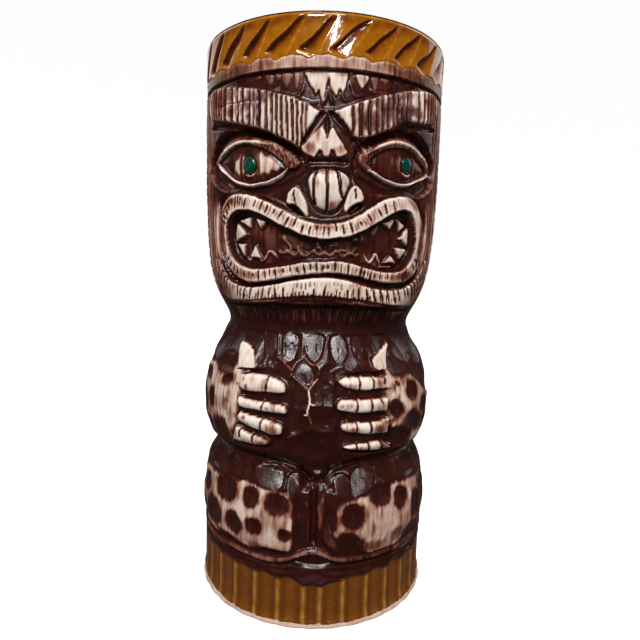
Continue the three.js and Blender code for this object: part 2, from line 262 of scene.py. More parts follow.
for tongue in ([(-11, 153.6), (-7.6, 152.6), (-5.9, 154.6), (-5.2, 157.4)],
               [(-6, 151.9), (-2.8, 151.0), (-1.4, 152.0)], [(-1.0, 150.4), (0.4, 152.4), (0.9, 155.6)],
               [(2.6, 150.8), (1.6, 152.6), (1.3, 156)], [(6.4, 152.0), (5.2, 152.8), (4.4, 154.4)],
               [(12, 154.2), (8.6, 153.6), (7.4, 155.6), (7.2, 158)], [(19, 156), (14, 155.2), (12.6, 157)],
               [(-19, 156.6), (-14.6, 155.2), (-12.2, 156)]):
    bead(tongue, 0.55, 0.5)
smoke([(-2.6, 159.4, 4, 0.7, 0, 0.3), (4.4, 159.2, 2, 0.6, 0, 0.3), (1.2, 152.5, 6, 1.6, 0, 0.3),
       (10.6, 158.6, 1.4, 1.6, 0, 0.25)])

# Hollow round each eye, from the brow's edge down to the cheek line.
LEFT_SOCKET = [(-44.5, 137.6), (-40, 141.6), (-35, 144.6), (-30, 145.9), (-24, 145.6), (-18, 144.4),
               (-12, 142.3), (-8, 140), (-4, 137.2), (-3.8, 133.5), (-9.5, 130.5), (-14, 127.8), (-20, 128.2),
               (-28, 128.6), (-32, 128.8), (-37, 131), (-41, 133.6)]
RIGHT_SOCKET = [(42.8, 137), (40.4, 141), (36, 144), (30, 146.2), (25, 146.8), (19, 145.2), (13, 142.3),
                (9.5, 140.3), (8, 137), (8.5, 132), (13, 128.4), (20, 128.6), (28, 128.9), (33, 129),
                (38, 131.4), (41.6, 133.6)]
for socket in (LEFT_SOCKET, RIGHT_SOCKET):
    carve(socket, level=-1.9, wipe=0.12, slope=1.6)


def comb(points, cuts, depth, width=0.42, margin=0.5, lean=0.0, stain=0.95):
    """A row of knife cuts across a raised shape, stopping a margin short of its edge."""
    outline = rounded(points, True)
    here = span_of(outline, 0)
    s, z = CUT_S[here], CUT_Z[here]
    room = ease(margin, margin + 0.6, depth_in(s, z, outline) + 0.3 * FRAY[here])
    middle = outline[:, 1].mean()
    bite = np.zeros(s.shape)
    soft_band = np.zeros(s.shape)
    for cut in cuts:
        place, wide = cut if isinstance(cut, tuple) else (cut, width)
        gap = np.abs(s - place - lean * (z - middle))
        bite = np.maximum(bite, np.clip(1 - (gap / wide) ** 2, 0, 1))
        soft_band = np.maximum(soft_band, np.clip(1 - (gap / (wide + 0.5)) ** 2, 0, 1))
    relief[here] -= depth * (0.7 * bite + 0.3 * soft_band) * room
    # The soft darker band round each cut is partly stain lying in the shallow valley and partly painted shade
    # of that valley; the narrow dark core is stain in the cut.
    bare[here] *= (1 - stain * ease(0.05, 0.5, bite) * room) * (1 - 0.3 * soft_band * room)


# Upper lids: a broad dark band, then a thin bare rim nicked with hatch marks, round a sunk eyeball.
LEFT_LID = [(-42, 137.5), (-37.5, 140.6), (-32, 143.2), (-26, 144.2), (-20, 143.5), (-14, 141.6), (-9, 138.7),
            (-5.5, 136.2), (-7.5, 134.4), (-9.6, 134.5), (-13, 131.6), (-20, 129.8), (-27, 130.7), (-33, 134),
            (-38.5, 137)]
RIGHT_LID = [(41.4, 136.6), (38, 140.6), (32, 143.6), (26, 145), (20, 144), (14, 141.2), (10.4, 139),
             (10.6, 136.4), (13, 134.4), (18, 132.6), (24, 131.3), (30, 132.4), (36, 134.6)]
for lid in (LEFT_LID, RIGHT_LID):
    carve(lid, level=-0.75, wipe=0.24, slope=1.2)
LEFT_EYE = [(-38.2, 138.0), (-38.2, 138.0), (-34, 139.9), (-30, 141.1), (-25, 141.8), (-20, 141.2),
            (-15.5, 139.2), (-12, 136.9), (-10.3, 134.8), (-10.3, 134.8), (-13, 132.3), (-17, 130.9),
            (-22, 130.6), (-27, 131.4), (-31, 133.2), (-35, 135.9)]
RIGHT_EYE = [(12.9, 136.6), (12.9, 136.6), (16, 139.4), (20, 141.4), (24.5, 142), (29, 141.4), (34, 139.3),
             (38.4, 136.8), (38.4, 136.8), (34, 134.6), (29, 132.6), (24.5, 131.9), (20, 132.5), (16, 133.9)]
LEFT_HATCH = [(-37.5, 139.4), (-33, 141.7), (-29, 142.8), (-24, 142.9), (-19, 142.9), (-13, 141.2),
              (-8, 138.2), (-5.8, 136.2), (-7.6, 134.6), (-10, 135.2), (-13, 137.8), (-18, 140.8),
              (-24, 142.0), (-30, 141.4), (-35, 139.8)]
RIGHT_HATCH = [(11.2, 139.4), (14.5, 141.2), (19, 143.2), (23.5, 144.1), (29, 143.1), (35, 141), (39, 138.4),
               (37, 138.0), (32, 140.6), (26, 142.3), (20, 141.9), (16, 139.9), (13.2, 137.2)]
for hatch, wipe in ((LEFT_HATCH, 0.52), (RIGHT_HATCH, 0.56)):
    carve(hatch, add=0.3, wipe=wipe, slope=0.5)
dice = np.random.default_rng(11)
for side, hatch, near, far in ((-1, LEFT_HATCH, -36, -6), (1, RIGHT_HATCH, 11, 37)):
    nicks = [(float(place + dice.uniform(-0.2, 0.2)), float(dice.uniform(0.16, 0.34)))
             for place in np.arange(near, far, 0.85)]
    comb(hatch, nicks, 0.3, margin=-0.2, lean=-0.22 * side, stain=0.8)
for eye in (LEFT_EYE, RIGHT_EYE):
    carve(eye, level=-1.9, wipe=0.08, slope=0.5, dome=1.25)
LEFT_LOWER_LID = [(-38.6, 138.2), (-36, 136.4), (-33, 134.3), (-30, 132.3), (-27, 131.1), (-24, 130.5),
                  (-20, 130.2), (-16, 130.6), (-13, 131.8), (-11.2, 133.1), (-9.8, 134.7)]
RIGHT_LOWER_LID = [(13.2, 134.9), (17, 133.2), (20, 132.2), (24.4, 131.6), (28.5, 132.1), (32, 133.3),
                   (36, 134.9), (40, 136.4)]
for lid in (LEFT_LOWER_LID, RIGHT_LOWER_LID):
    bead(lid, 0.62, 0.75, wipe=0.95, taper=0.12)
bead([(-38.6, 138.2), (-34, 140.4), (-30, 141.8), (-25, 142.6), (-20, 142.3), (-15, 141)], 0.55, 0.45,
     wipe=0.85)
bead([(12, 138.6), (16, 141.2), (20, 142.9), (24.5, 143.4), (29, 142.7), (34, 141), (39.4, 138)], 0.6, 0.45,
     wipe=0.85)
for outline, wipe in (
    ([(-28.4, 134.8), (-28.2, 138.2), (-26.8, 137.4), (-26.2, 139.8), (-24.9, 138.4), (-24.2, 139.4),
      (-24, 134), (-25, 133), (-25.8, 134.4), (-26.8, 132.9)], 0.82),
    ([(-20, 139.6), (-17.8, 139.4), (-16.8, 138.0), (-14.6, 138), (-13.6, 136.2), (-11.8, 135.2),
      (-13.4, 133.6), (-14.6, 134.4), (-15.6, 132.8), (-17.2, 133.8), (-18.6, 132.6), (-20.6, 133.2)], 0.9),
    ([(20.4, 138), (21.2, 139.8), (22.4, 138.8), (23.8, 140.6), (24.6, 138), (24.2, 134.6), (22.8, 135.6),
      (21.8, 134.4)],
     0.5),
    ([(29.2, 140), (30.4, 138.8), (31.4, 139.4), (32, 136.6), (30.6, 136.4), (29.4, 135.2)], 0.45),
):
    carve(outline, wipe=wipe, slope=0.6, times=2, fade=0.9)
eyeball_grain = window(-30, 34, 131, 142)
streak = ease(-0.1, 0.35, mottle(23, 0.85, 9)[eyeball_grain] + 0.25 * FRAY[eyeball_grain])
for eye in (LEFT_EYE, RIGHT_EYE):
    in_eye = ease(0.2, 0.8, depth_in(ACROSS[eyeball_grain], UP[eyeball_grain], rounded(eye, True)))
    bare[eyeball_grain] *= 1 - 0.8 * streak * in_eye
    relief[eyeball_grain] -= 0.1 * streak * in_eye
for s0, z0 in ((-22.2, 135.8), (26.8, 137.4)):
    turn = np.linspace(0, 2 * math.pi, 12, endpoint=False)
    ring = [(s0 + 2.35 * math.cos(a), z0 + 2.5 * math.sin(a)) for a in turn]
    groove(ring, 0.55, 0.3, closed=True)
    bead([(s0 + 2.0, z0 - 2.2), (s0 + 0.2, z0 - 3.0), (s0 - 2.0, z0 - 2.2)], 0.4, 0.2, wipe=0.75)

for tick, wipe in (
    ([(-14.0, 141.4), (-12.8, 139.0)], 0.5), ([(-12.2, 140.2), (-10.8, 137.6)], 0.42),
    ([(-10.2, 139.0), (-8.8, 136.2)], 0.36), ([(-8.2, 137.8), (-7.0, 135.2)], 0.28),
    ([(8.8, 139.4), (9.6, 135.2)], 0.3), ([(10.2, 141.0), (10.8, 136.6)], 0.5),
    ([(11.8, 141.6), (12.2, 138.6)], 0.55), ([(13.4, 142.2), (13.8, 140.0)], 0.5),
    ([(9.6, 134.6), (10.8, 132.4)], 0.3),
):
    bead(tick, 0.5, 0.3, wipe=wipe)

# Deep shadow cuts over and under the lids.
groove([(-44, 136.4), (-40.5, 141.2), (-36, 144), (-31, 145.5), (-25, 145.4), (-18, 143.8), (-11, 141.2),
        (-5.5, 137.8), (-2.8, 136.2)], 0.95, 0.8, taper=0.08)
groove([(42.4, 134.8), (41.6, 139.2), (37, 143.1), (31, 145.7), (25, 146.5), (18, 144.6), (12, 141.7),
        (8.8, 139.8)],
       0.95, 0.8, taper=0.08)
groove([(-32, 129.2), (-24, 128.7), (-16, 128.6), (-9, 130.6), (-5, 134)], 1.2, 0.5, taper=0.2)
groove([(34, 129.4), (26, 129.4), (18, 129.6), (12, 131.5), (9.2, 135)], 1.2, 0.5, taper=0.2)
bead([(-44.5, 136), (-41, 132.8), (-36.5, 130.2), (-31, 128.6)], 0.75, 0.45, wipe=0.16)
bead([(43, 134.6), (40, 132), (36.5, 129.9), (33, 128.8)], 0.75, 0.45, wipe=0.16)
carve([(-34.4, 131.4), (-31.2, 129.2), (-30.4, 129.6), (-32.8, 131.8)], wipe=0.6, slope=0.5, fade=1.0)

# Brows: two winged pads whose tips cross above the nose, combed with upright knife cuts.
LEFT_BROW = [(-1.0, 149.2), (-1.0, 149.2), (-6, 151.8), (-14, 154.7), (-20, 156.1), (-26, 157.4),
             (-33, 158.6), (-40.5, 159.4), (-41.4, 155), (-40.6, 150.6), (-36, 149.7), (-28, 148.1),
             (-22, 146.5), (-16, 144.7), (-11, 142.3), (-6.2, 140.2), (-6.2, 140.2)]
RIGHT_BROW = [(2.8, 149.3), (2.8, 149.3), (8, 151.4), (14, 153.8), (20, 155.7), (26, 157.5), (33, 159.1),
              (40, 159.5), (40.8, 155), (39.5, 150.9), (33, 150.1), (27, 149.4), (22, 147.9), (17.5, 145.7),
              (13.5, 143.7), (9.4, 142.5), (7.4, 144.6)]
for brow in (LEFT_BROW, RIGHT_BROW):
    carve(brow, level=1.0, wipe=0.95, slope=1.3)
smoke([(-20, 153, 7, 1.8, 12, 0.55), (-32.5, 155.8, 8, 2.6, 4, 0.55), (-38, 154, 3, 5, 0, 0.5),
       (-30, 151, 7, 1.6, 4, 0.3), (-11, 149.6, 1.6, 4, 0, 0.15), (20.5, 150.4, 6.5, 3.4, -12, 0.88),
       (12.4, 147.6, 4.8, 3.0, -10, 0.75), (36.6, 155, 4.4, 5, 0, 0.65), (27.6, 151.8, 5, 1.6, -8, 0.6),
       (22.4, 155.6, 5.4, 1.4, 14, 0.5), (14.2, 152.4, 3.0, 1.2, 20, 0.35), (10, 151, 1.2, 1.6, 0, 0.3)])
comb(LEFT_BROW, [(-39.4, 0.5), (-37.7, 0.6), (-36.1, 0.6), (-34.5, 0.55), (-33.2, 0.6), (-31.2, 0.8),
                 (-28.1, 0.75), (-25.7, 0.5), (-23.8, 0.7), (-21.4, 0.65), (-19.9, 0.4), (-18.3, 0.9),
                 (-16, 0.5), (-14.3, 0.4), (-12.9, 0.42), (-11.5, 0.44), (-9.9, 0.36), (-8.4, 0.42),
                 (-7.1, 0.44), (-5.8, 0.3), (-4.6, 0.22)], 0.7, margin=-0.15, lean=-0.03, stain=1.0)
comb(RIGHT_BROW, [(7.8, 0.45), (9.9, 0.6), (12.4, 0.6), (14.7, 0.5), (16.4, 0.5), (18.2, 0.5), (20.0, 0.42),
                  (21.5, 0.55), (23.4, 0.35), (24.8, 0.6), (26.0, 0.4), (29.4, 0.55), (32.2, 0.5),
                  (34.2, 0.6), (35.8, 0.5), (37.2, 0.42), (38.7, 0.5)], 0.7, margin=-0.15, lean=-0.03,
     stain=1.0)
groove([(-38, 153.5), (-30, 153.2), (-22, 152.9), (-17, 152.6)], 0.2, 0.12, stain=0.7)
groove([(-42, 148.6), (-33, 147.6), (-26, 146.4), (-18, 144.2), (-11, 141.3), (-5.4, 138.2)], 0.9, 1.0,
       taper=0.05)
groove([(41, 149.4), (33, 148.8), (26, 147.6), (18, 144.8), (12, 142.2), (8.6, 140.6)], 0.8, 0.9, taper=0.05)

# Crossing of the brows: dark cuts with a rolled strip beside each.
groove([(0.2, 149.6), (-2.4, 145.6), (-6.0, 140.2)], 0.75, 1.1, taper=0.1)
groove([(1.4, 149.4), (5, 145.6), (9.2, 141)], 0.8, 1.1, taper=0.1)
bead([(-4.9, 140.2), (-2.6, 143.6), (0.2, 148.2)], 0.6, 0.6, wipe=0.42)
bead([(2.6, 148.6), (5.2, 145.4), (8.6, 141.2)], 0.55, 0.5, wipe=0.2)

# Bridge of the nose: a bare arrowhead, split at the top and frayed below, over a black undercut.
carve([(-6.2, 140), (-3.4, 142.2), (-0.2, 145.4), (-0.2, 145.4), (0.7, 143.2), (1.1, 141.8), (1.4, 143.4),
       (2.3, 145.6), (2.3, 145.6), (4.2, 142.6), (6.9, 139.4), (6.5, 138.2), (3.9, 137.6), (3.9, 137.6),
       (2.7, 140.2), (1.6, 137.6), (1.6, 137.6), (0.5, 137.6), (-0.9, 139.8), (-2.2, 137.2), (-2.2, 137.2),
       (-4.2, 137.8)],
      level=0.5, wipe=0.9, slope=0.6, times=2)
smoke([(-3.4, 139.6, 1.6, 1.6, 0, 0.35), (4.6, 139.4, 1.6, 1.4, 0, 0.35), (-1.4, 143, 0.8, 2, 0, 0.3)])
groove([(1.0, 148.8), (0.9, 145.5), (1.0, 142.2)], 0.5, 0.7)
groove([(-4.5, 136.1), (0.8, 136.4), (7.6, 136.5)], 1.1, 1.2, taper=0.1)

# Nose: a bulb of four bare strips, a leaf-shaped wing each side, and a black nostril under each wing.
NOSE = [(-3.9, 130.6), (-3.2, 132.9), (-1.4, 134.0), (1.6, 134.3), (4.6, 134.0), (6.9, 132.9), (8.0, 131.0),
        (6.6, 127.6), (5.2, 124.8), (3.4, 122.9), (1.2, 122.9), (-1.0, 123.8), (-2.8, 126.6)]
carve([(s * 1.12 - 0.2, 128.6 + (z - 128.6) * 1.12) for s, z in NOSE], level=-0.9, wipe=0.04, slope=1.0)
carve(NOSE, level=-0.2, wipe=1.0, slope=0.9, dome=2.3)
groove([(-1.2, 134.2), (-2.2, 131.4), (-2.2, 128.2), (-1.3, 124.4)], 0.5, 0.5, taper=0.05)
groove([(1.5, 134.6), (1.5, 129), (1.6, 122.6)], 0.52, 0.6, taper=0.05)
groove([(4.2, 134.2), (4.8, 131.6), (5.0, 129.4), (5.6, 126.4)], 0.6, 0.6, taper=0.05)
smoke([(3.2, 124.2, 2.2, 1.6, 0, 0.5), (5.8, 131.5, 1.4, 2.2, 0, 0.35), (-1.6, 131, 1.0, 3, 0, 0.35),
       (0.6, 133.4, 3, 0.8, 0, 0.5)])
LEFT_WING = [(-9.5, 126.4), (-8.5, 129.0), (-6.9, 129.6), (-5.4, 128.2), (-3.9, 125), (-2.9, 121.9),
             (-3.9, 121.5), (-5.2, 123.1), (-6.8, 124.3), (-9.5, 124.7)]
RIGHT_WING = [(6.0, 124.2), (7.1, 127.6), (8.6, 130.3), (10.1, 130.4), (11.9, 128), (12.0, 125.9),
              (9.4, 125.2), (8.0, 124.4), (6.6, 122.6)]
for wing in (LEFT_WING, RIGHT_WING):
    carve(wing, level=0.7, wipe=0.92, slope=0.7)
groove([(-7.3, 128.8), (-7.5, 126.6), (-6.8, 124.4)], 0.32, 0.4)
groove([(-5.7, 129.0), (-4.5, 126.6), (-3.5, 124.2)], 0.3, 0.35)
groove([(9.3, 129.8), (9.6, 128), (9.5, 126.2)], 0.32, 0.4)
for nostril in ([(-9.8, 124.4), (-7.6, 124.6), (-5.6, 123.2), (-3.9, 121.6), (-6, 121.9), (-8.4, 123.2)],
                [(7.2, 123.2), (8.6, 124.8), (10.8, 125.7), (12.4, 125), (11, 123.9), (9, 122.6)]):
    carve(nostril, level=-2.2, wipe=0.0, slope=0.8)

# Mouth: a ribbed lip band in a bow-tie loop, a groove round it, and the open mouth with its teeth.
LIPS = [(-35.4, 114), (-35.2, 119), (-34.2, 123.4), (-32.6, 126.1), (-30, 127.8), (-26, 128.2), (-22, 127.7),
        (-18, 126.6), (-14, 124.9), (-10, 122.9), (-6, 121), (-2, 119.8), (2, 119.6), (6, 120.3), (10, 121.9),
        (14, 124.4), (17.6, 126.7), (21, 128.1), (26, 128.7), (30.2, 128.1), (33.2, 125.6), (35.6, 121.6),
        (37.2, 116.4), (37.3, 111), (35.4, 107), (32, 104.3), (27, 103.4), (20, 103.5), (14, 104.8),
        (8, 105.9), (1, 106.2), (-5, 105.5), (-12, 104), (-18, 102.9), (-24, 102.7), (-28.5, 104),
        (-32.4, 107), (-34.6, 110.4)]
MOUTH = [(-31.3, 116), (-30.9, 119), (-29.4, 121.6), (-26.6, 123), (-23, 123.2), (-19, 122.4), (-14, 120.2),
         (-9, 117.6), (-4, 115.8), (0, 115.2), (4, 115.3), (8, 116), (12, 117.5), (16, 119.9), (20, 122.5),
         (24, 124.2), (27.6, 124.4), (30, 122.6), (31.2, 119.5), (32.1, 116), (32.2, 112.6), (30, 109.4),
         (26.4, 107.2), (21, 106.9), (16, 107.6), (11, 109), (5, 109.8), (0, 109.6), (-6, 109), (-12, 107.9),
         (-18, 106.9), (-23, 107.1), (-27.4, 108.6), (-30.2, 111.4)]
carve([(s * 1.055 - 0.05, 115.6 + (z - 115.6) * 1.11) for s, z in LIPS], level=-1.1, wipe=0.03, slope=1.0)
carve(LIPS, level=0.25, wipe=0.88, slope=1.0, dome=0.8)
smoke([(-34, 116, 1.6, 9, 0, 0.55), (-26, 104.6, 8, 1.6, 0, 0.4), (35.6, 115, 1.8, 9, 0, 0.5),
       (28, 105.4, 8, 1.8, 0, 0.45), (-31, 125.4, 3, 1.8, 45, 0.4), (30, 126.6, 4, 1.4, -30, 0.45),
       (1, 119, 3, 0.9, 0, 0.35)])
groove([(-28.6, 126.6), (-32.4, 124.2), (-33.9, 119.4), (-34.2, 114), (-33, 109.6), (-29.6, 105.6)], 0.42,
       0.35, stain=0.7)
groove([(-31.6, 122.6), (-32.5, 118.6), (-32.6, 113.8), (-31.2, 109.8)], 0.3, 0.2, stain=0.45)
groove([(31.6, 126.6), (34.4, 122.4), (35.6, 116.4), (35.2, 110.6), (32.2, 106)], 0.45, 0.25, stain=0.45)
nick_dice = np.random.default_rng(5)
for path, stations, reach in (
    ([(-33.4, 118), (-31.8, 123.2), (-28.6, 125.6), (-24, 125.8), (-18, 124.4), (-12, 121.8), (-6, 118.8),
      (1, 117.6), (8, 118.4), (14, 121.4), (20, 124.9), (26, 126.6), (31, 125.8), (33.6, 121)],
     (0.03, 0.05, 0.075, 0.1, 0.12, 0.14, 0.155, 0.17, 0.19, 0.235, 0.265, 0.29, 0.32, 0.35, 0.38, 0.41,
      0.445, 0.47, 0.492, 0.52, 0.54, 0.565, 0.59, 0.62, 0.66, 0.7, 0.745, 0.775, 0.81), 1.5),
    ([(-33.2, 112), (-30.6, 107.6), (-26, 105.2), (-20, 104.9), (-12, 106), (-4, 107.4), (3, 107.9),
      (10, 107), (16, 105.9), (22, 105.2), (28, 105.6), (33, 108.2), (34.8, 113)],
     (0.02, 0.045, 0.07, 0.095, 0.12, 0.16, 0.185, 0.205, 0.235, 0.26, 0.285, 0.31, 0.345, 0.375, 0.4, 0.425,
      0.45, 0.475, 0.5, 0.52, 0.545, 0.57, 0.6, 0.65, 0.665, 0.69, 0.71, 0.73, 0.77, 0.83, 0.855, 0.88, 0.93,
      0.96), 1.4),
):
    line = rounded(path, False)
    walk = np.concatenate([[0], np.cumsum(np.hypot(*np.diff(line, axis=0).T))])
    for station in stations:
        at = [np.interp(station * walk[-1], walk, line[:, k]) for k in (0, 1)]
        ahead = [np.interp(station * walk[-1] + 1, walk, line[:, k]) for k in (0, 1)]
        run, rise = ahead[0] - at[0], ahead[1] - at[1]
        for shift in (0, 1.1, 2.0):
            low, high = nick_dice.uniform(0.35, 1.5, 2) * reach
            place = at[0] + shift + nick_dice.uniform(-0.2, 0.2)
            drift = rise / max(run, 0.4) * shift
            firm = 1.0 if shift == 0 else 0.35
            low_end = (place + rise * low, at[1] + drift - run * low)
            high_end = (place - rise * high, at[1] + drift + run * high)
            groove([low_end, high_end],
                   float(nick_dice.uniform(0.26, 0.46)) * (0.6 + 0.4 * firm), 0.3 * firm + 0.06,
                   stain=float(nick_dice.uniform(0.6, 1.0)) * firm)
carve(MOUTH, level=-2.4, wipe=0.15, slope=1.0)
groove(MOUTH, 0.5, 0.3, closed=True)
TEETH = (
    [(-27.4, 120.6), (-22.4, 121.4), (-22.6, 118.4)], [(-20.6, 121.2), (-17.0, 120.2), (-18.6, 118)],
    [(-28.2, 119.8), (-24.2, 116.6), (-29.1, 114.6)], [(-28.4, 113.9), (-25.3, 113.6), (-25.5, 110)],
    [(-23.4, 109.9), (-21.1, 113.6), (-19.0, 109.7)], [(19.6, 120.8), (23.9, 122.0), (22.2, 118.7)],
    [(25.1, 122.2), (28.6, 120.3), (25.9, 118.7)], [(30.2, 119.8), (26.6, 116.7), (30.4, 114.6)],
    [(25.2, 113.8), (30.2, 113.7), (27.5, 110.6)], [(21.2, 109.5), (23.6, 111.5), (26.4, 109.5)],
)
for tooth in TEETH:
    corners = [corner for corner in tooth for _ in (0, 1)]
    carve(corners, level=-1.1, wipe=0.82, slope=0.7, times=2)
for ridge, wipe in (
    ([(-18.6, 108.9), (-17.4, 110.6), (-16, 112.3), (-14.6, 111), (-13.2, 109.9)], 0.7),
    ([(-25.2, 110.4), (-24.2, 108.9), (-23.2, 109.9)], 0.6),
    ([(-20.4, 109.6), (-18.8, 108.7), (-18.1, 110)], 0.55),
    ([(14.3, 112), (15.2, 109.9), (16.6, 109.2), (17.6, 111.4), (18.4, 112.2), (19.4, 110), (20.6, 108.5)],
     0.75),
    ([(18.8, 108.2), (22.4, 108.4), (25.6, 108.3)], 0.45),
    ([(-12.2, 116.2), (-10.2, 114.4), (-8.8, 113.2), (-9.8, 111.6)], 0.4),
    ([(-7.2, 113.6), (-5.8, 111.2), (-4.4, 110.4)], 0.4), ([(-1.4, 112.6), (0, 113.4), (0.6, 111.6)], 0.35),
    ([(5.2, 111.4), (6.6, 112.6), (8.8, 112.6)], 0.4), ([(12, 113.8), (10.2, 112.2), (9, 110.8)], 0.3),
    ([(18.1, 120), (17.2, 118), (16.6, 117)], 0.4), ([(13.2, 117), (12.6, 114.9)], 0.3),
):
    bead(ridge, 0.42, 0.55, wipe=wipe)
tongue_edge = [(-13.6 + 1.9 * n, 111.5 + (0.9, -0.8)[n % 2] + 0.3 * math.sin(2.1 * n)) for n in range(15)]
bead(tongue_edge, 0.5, 0.6, wipe=0.36, smooth_times=2, taper=0.05)
lumps = window(-13, 15, 110, 116.5)
into_mouth = depth_in(ACROSS[lumps], UP[lumps], rounded(MOUTH, True))
relief[lumps] += 0.45 * mottle(21, 2.1, 1.7)[lumps] * ease(0.4, 1.6, into_mouth)

# Lip's upper edge under the nose: a thin rolled line.
bead([(-18, 127.8), (-12, 125.6), (-7, 122.6), (-2, 120.6), (1, 120.3), (5, 120.9), (9, 122.4), (13, 124.6)],
     0.3, 0.3, wipe=0.3)

# Chin: a thick ribbed band that follows the lower lip and fans out into the cheeks, over the dark jaw.
CHIN = [(-38, 110), (-36.6, 106.6), (-34, 104), (-30, 102.3), (-25, 101.3), (-20, 101.4), (-14, 102.4),
        (-8, 103.7), (-2, 104.8), (4, 105.0), (9, 104.1), (14, 102.6), (20, 101.5), (27, 101.6), (33, 102.8),
        (38, 106), (41.4, 111.4), (45, 108), (48, 100), (42, 96.2), (34, 96.0), (26, 96.8), (19, 97.8),
        (12, 98.8), (5, 99.6), (-2, 99.8), (-9, 99.2), (-16, 98.3), (-24, 97.4), (-33, 96.8), (-42, 97),
        (-47, 101), (-44, 108)]
front_only = ease(44, 16, np.abs(ACROSS - DATUM_TO_NOSE))
jaw = ease(96.0, 97.6, UP + 0.002 * np.abs(ACROSS - DATUM_TO_NOSE) ** 1.6) * ease(110, 103, UP)
relief += (np.maximum(37.3 - trunk(UP), 0)) * jaw * front_only
carve(CHIN, add=0.5, slope=1.1)
chin_wipe = rounded(CHIN, True)
here = span_of(chin_wipe, 1)
inside_chin = ease(-0.1, 0.3, depth_in(ACROSS[here], UP[here], chin_wipe))
pale = 0.95 - 0.5 * ease(26, 42, np.abs(ACROSS[here] - 1))
bare[here] += (pale - bare[here]) * inside_chin
for place, lean, wide, stain in (
    (-41, -0.9, 0.5, 0.5), (-38.6, -0.9, 0.5, 0.6), (-36, -0.85, 0.5, 0.75), (-34.2, -0.8, 0.5, 0.7),
    (-31.8, -0.5, 0.4, 0.3), (-30, -0.45, 0.36, 0.3), (-27.9, -0.35, 0.42, 0.95), (-26.2, -0.3, 0.3, 0.3),
    (-24.3, -0.25, 0.42, 0.95), (-21.6, -0.2, 0.42, 0.95), (-18.6, -0.15, 0.3, 0.3), (-17, -0.1, 0.3, 0.4),
    (-14.8, -0.05, 0.3, 0.3), (-12.9, 0, 0.36, 0.8), (-10.3, 0, 0.36, 0.6), (-7.4, 0, 0.26, 0.3),
    (-1.5, 0, 0.38, 0.85), (1.8, 0, 0.36, 0.7), (5.2, 0, 0.26, 0.2), (8.2, 0, 0.26, 0.3),
    (10.2, 0.05, 0.32, 0.6), (12, 0.1, 0.34, 0.85), (14.7, 0.2, 0.4, 0.95), (17, 0.3, 0.42, 0.95),
    (19.4, 0.36, 0.42, 0.95), (21.9, 0.42, 0.42, 0.95), (24.7, 0.5, 0.42, 0.95), (27.2, 0.56, 0.42, 0.95),
    (29.6, 0.62, 0.42, 0.95), (31.6, 0.68, 0.5, 0.95), (34, 0.76, 0.5, 0.95), (36.2, 0.84, 0.5, 0.9),
    (38.6, 0.9, 0.5, 0.85), (41, 0.95, 0.5, 0.75), (43.4, 1.0, 0.5, 0.6),
):
    middle = 99.6 + 0.0022 * (place - 1) ** 2 * (1 if abs(place) > 28 else 0.2)
    half = 2.6 if abs(place) < 33 else 3.6
    groove([(place - lean * half, middle + half), (place + lean * half, middle - half)], wide, 0.4,
           stain=stain)
stroke_dice = np.random.default_rng(17)
for place in np.arange(-33, 36, 1.15):
    reach, wide, stain = stroke_dice.uniform((0.5, 0.16, 0.25), (1.9, 0.34, 0.9))
    fan = 0.018 * (place - 1)
    foot = 99.4 - 0.0026 * (place - 1) ** 2
    groove([(place, foot + reach), (place + fan * 2, foot - 1.4)], wide, 0.3, stain=stain, taper=0.1)
    top = foot + 4.4 - stroke_dice.uniform(0, 0.6)
    groove([(place + 0.5, top), (place + 0.5, top - 1.2 * reach)], 0.8 * wide, 0.2, stain=0.5 * stain,
           taper=0.1)
groove([(-38.4, 112), (-37, 107.2), (-33.6, 103.4), (-28, 102.1), (-22, 101.9), (-15, 102.8), (-8, 104.3),
        (0, 105.6), (7, 105.4), (13, 104.0), (19, 102.5), (27, 102.4), (33, 103.4), (37.6, 106.8),
        (39.6, 112)], 0.62, 0.9,
       taper=0.06)
groove([(-46, 95.4), (-36, 95.4), (-26, 95.9), (-16, 96.6), (-8, 97.6), (0, 97.8), (8, 97.4), (16, 96.4),
        (26, 95.2), (36, 94.6), (46, 94.6)], 0.9, 0.8, taper=0.1)
bead([(-38, 96.2), (-28, 96.4), (-20, 97.1), (-11, 98.1)], 0.6, 0.4, wipe=0.36)
bead([(5, 98.3), (12, 97.5), (20, 96.4), (30, 95.6), (40, 95.4)], 0.6, 0.4, wipe=0.4)
jaw_lines = ease(89.8, 91, UP) * ease(97, 95.6, UP) * ease(44, 36, np.abs(ACROSS))
streaks = mottle(31, 0.8, 9)
relief += jaw_lines * (0.14 * np.sin(ACROSS * 2 * math.pi / 1.3) + 0.14 * streaks)
bare += jaw_lines * ease(90.4, 93, UP) * np.clip(0.2 + 0.22 * streaks, 0, 1)

# Cheeks beside the mouth: a dark channel round the lips, then soft upright bands.
for side, place in ((-1, -37.9), (1, 39.6)):
    bead([(place * 0.94, 126.6), (place, 120), (place, 112), (place * 0.96, 107.6)], 0.9, 0.4, wipe=0.56)
    cheek = ease(37, 39.5, side * (ACROSS - DATUM_TO_NOSE)) * ease(60, 46, side * (ACROSS - DATUM_TO_NOSE))
    cheek *= ease(97, 101, UP) * ease(130, 124, UP)
    bands = 0.5 + 0.32 * np.sin((ACROSS + 0.4 * mottle(36, 8, 12)) * 2 * math.pi / 2.4)
    bands = bands + 0.2 * mottle(37, 0.9, 12)
    bare += cheek * np.clip(bands - bare, 0, 1)

# Collar under the rim: a pale scratched ring over a knife-cut groove.
ring = ease(COLLAR + 0.3, COLLAR + 0.7, UP)
front_wipe = ease(30, 10, np.abs(ACROSS))
bare += (0.34 + 0.3 * front_wipe - bare) * ring
relief -= 1.1 * np.exp(-((UP - COLLAR) / 0.45) ** 2)
relief *= 1 - ring * 0.8
bare *= 1 - 0.97 * np.exp(-((UP - COLLAR) / 0.42) ** 4)
bare -= ring * 0.22 * np.clip(mottle(41, 0.9, 6), 0, 1)

